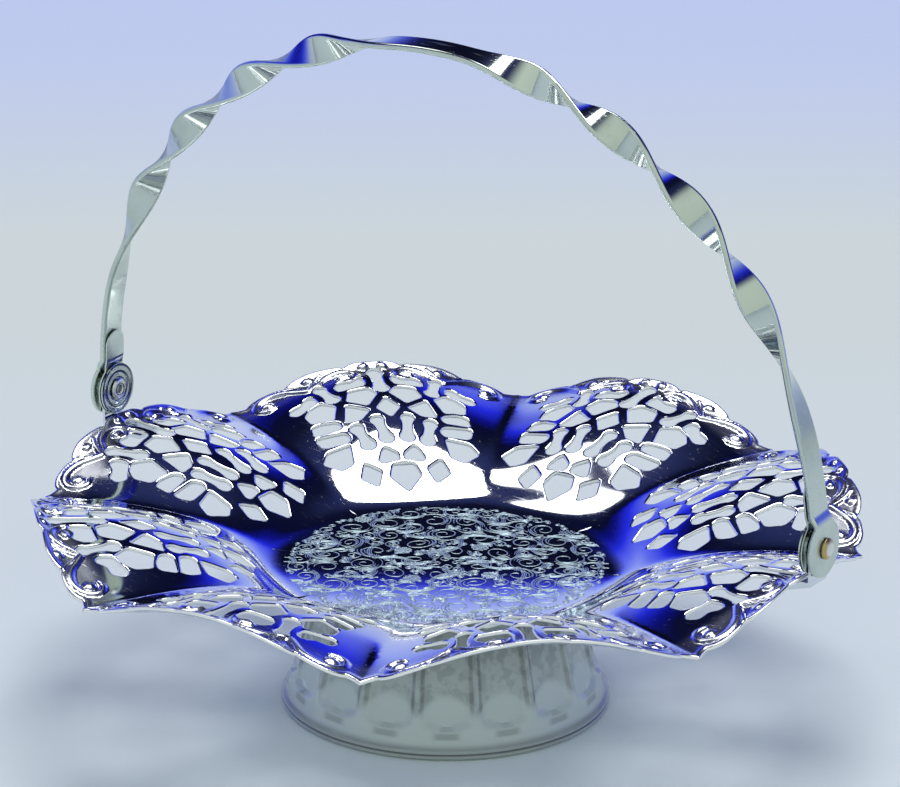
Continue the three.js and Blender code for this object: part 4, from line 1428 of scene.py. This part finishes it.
class BONBON_OT_stage(bpy.types.Operator):
    """Set up the camera, floor, world and lamps"""

    bl_idname = "bonbon.stage"
    bl_label = "Stage"

    def execute(self, context):
        look = context.scene.bonbon_stage
        scene = context.scene
        scene.view_settings.view_transform = "Standard"
        self.camera(scene)
        self.floor(look)
        self.world(scene)
        self.lamps(look)
        return {"FINISHED"}

    def camera(self, scene):
        """Sets the camera that was fitted to the photograph."""
        data = bpy.data.cameras.new("camera")
        data.sensor_width = 36
        data.sensor_fit = "HORIZONTAL"
        data.lens = FOCAL_PIXELS / IMAGE_WIDTH * data.sensor_width
        data.clip_start = 0.05
        data.clip_end = 50
        camera = bpy.data.objects.new("camera", data)
        turn = Matrix.Rotation(CAMERA_TURN, 3, "Z")
        ahead = turn @ Vector((0, math.cos(CAMERA_DIP), -math.sin(CAMERA_DIP)))
        above = turn @ Vector((0, math.sin(CAMERA_DIP), math.cos(CAMERA_DIP)))
        right = turn @ Vector((1, 0, 0))
        c, s = math.cos(CAMERA_ROLL), math.sin(CAMERA_ROLL)
        x_axis = right * c + above * s
        y_axis = above * c - right * s
        rotation = Matrix((x_axis, y_axis, -ahead)).transposed()
        camera.matrix_world = Matrix.Translation(CAMERA_PLACE) @ rotation.to_4x4()
        scene.collection.objects.link(camera)
        scene.camera = camera

    def floor(self, look):
        """Lays a floor whose colour carries painted light: brightest near the camera,
        grey-green behind the bowl, and bluer and darker far behind it.
        """
        s, at = new_shader("paper_floor")
        along = s.dot(at, tuple(heading(0, 0)))
        near, middle, far = (tuple(c) for c in
                             (look.floor_near, look.floor_middle, look.floor_far))
        # Painted light: the floor's tone steps from near to far stand in for the studio's
        # uneven light
        tone = s.ramp(s.span(along, -0.06, 0.82),
                      (0.0, near), (0.4, middle), (0.6, middle), (1.0, far))
        fleck = s.noise(at, 600.0, 3.0)
        tone = s.blend(fleck * 0.04, tone, (0.9, 0.92, 0.95))
        material = s.surface(Base_Color=tone, Roughness=0.7, Specular_IOR_Level=0.2,
                             Normal=s.bump(fleck, 0.1, 0.1 * MM))
        corners = [(x * FLOOR_HALF, y * FLOOR_HALF, 0)
                   for x, y in ((-1, -1), (1, -1), (1, 1), (-1, 1))]
        floor = mesh_object("floor", corners, [(0, 1, 2, 3)], None, material)

    def world(self, scene):
        """Surrounds the bowl with soft bands of light: blue low down and dark above on the
        far side, with a wider blue band at the sides, and pale on the camera's side."""
        world = bpy.data.worlds.new("studio")
        scene.world = world
        s = Shader(world)
        at = s.position("Generated")
        up = s.dot(at, (0.0, 0.0, 1.0))
        aside = s.dot(at, tuple(heading(90, 0))).absolute()
        level = (up.arcsine() / (math.pi / 2)).clamped()
        middle = s.ramp(
            level, (0.0, (0.60, 0.66, 0.95)), (0.13, (0.42, 0.50, 0.98)),
            (0.16, (0.20, 0.26, 0.97)), (0.178, (0.03, 0.035, 0.8)),
            (0.197, (0.005, 0.006, 0.12)), (0.212, (0.002, 0.003, 0.012)),
            (0.45, (0.005, 0.007, 0.03)), (0.6, (0.02, 0.028, 0.11)))
        sides = s.ramp(
            level, (0.0, (0.58, 0.64, 0.95)), (0.13, (0.34, 0.42, 1.0)),
            (0.2, (0.14, 0.18, 0.98)), (0.28, (0.02, 0.03, 0.85)),
            (0.34, (0.005, 0.007, 0.25)), (0.39, (0.003, 0.004, 0.03)),
            (0.48, (0.005, 0.007, 0.03)), (0.6, (0.02, 0.028, 0.11)))
        behind = s.blend(s.span(aside, 0.06, 0.22), middle, sides)
        before = s.ramp(
            level, (0.0, (0.64, 0.70, 0.67)), (0.5, (0.70, 0.76, 0.73)),
            (0.8, (0.62, 0.67, 0.67)), (1.0, (0.14, 0.17, 0.22)))
        facing = s.span(s.dot(at, tuple(heading(0, 0))), -0.5, 0.02)
        sky = s.blend(facing, before, behind)
        light = s.node("ShaderNodeBackground", Color=sky, Strength=1.0)
        s.node("ShaderNodeOutputWorld", Surface=light)

    def lamps(self, look):
        """Hangs the soft lamps, which face the bowl."""
        for name, azimuth, elevation, size_x, size_y, share in LAMPS:
            data = bpy.data.lights.new(name, "AREA")
            data.shape = "ELLIPSE"
            data.size, data.size_y = size_x, size_y
            data.energy = look.lamp_power * share
            lamp = bpy.data.objects.new(name, data)
            toward = heading(azimuth, elevation)
            lamp.location = toward * LAMP_DISTANCE + Vector((0, 0, 0.05))
            lamp.rotation_euler = toward.to_track_quat("Z", "Y").to_euler()
            bpy.context.scene.collection.objects.link(lamp)


class BONBON_PT_panel(bpy.types.Panel):
    """Lists the bowl's operators"""

    bl_idname = "BONBON_PT_panel"
    bl_label = "Bonbon bowl"
    bl_space_type = "VIEW_3D"
    bl_region_type = "UI"
    bl_category = "Bonbon bowl"

    def draw(self, context):
        for operator in OPERATORS:
            self.layout.operator(operator.bl_idname)
        for name in SETTINGS:
            box = self.layout.box()
            look = getattr(context.scene, name)
            for prop in look.bl_rna.properties:
                if prop.identifier not in {"rna_type", "name"}:
                    box.prop(look, prop.identifier)


OPERATORS = (BONBON_OT_stage, BONBON_OT_dish, BONBON_OT_engraving, BONBON_OT_foot,
             BONBON_OT_fastening, BONBON_OT_handle, BONBON_OT_hinges)
SETTINGS = {
    "bonbon_dish": DishLook,
    "bonbon_engraving": EngravingLook,
    "bonbon_handle": HandleLook,
    "bonbon_foot": FootLook,
    "bonbon_stage": StageLook,
}


def register():
    for group in SETTINGS.values():
        bpy.utils.register_class(group)
    for operator in OPERATORS:
        bpy.utils.register_class(operator)
    bpy.utils.register_class(BONBON_PT_panel)
    for name, group in SETTINGS.items():
        setattr(bpy.types.Scene, name, PointerProperty(type=group))


def unregister():
    for name in SETTINGS:
        delattr(bpy.types.Scene, name)
    bpy.utils.unregister_class(BONBON_PT_panel)
    for operator in reversed(OPERATORS):
        bpy.utils.unregister_class(operator)
    for group in reversed(list(SETTINGS.values())):
        bpy.utils.unregister_class(group)


def main():
    register()
    for operator in OPERATORS:
        group, name = operator.bl_idname.split(".")
        getattr(getattr(bpy.ops, group), name)()


if __name__ == "__main__":
    main()
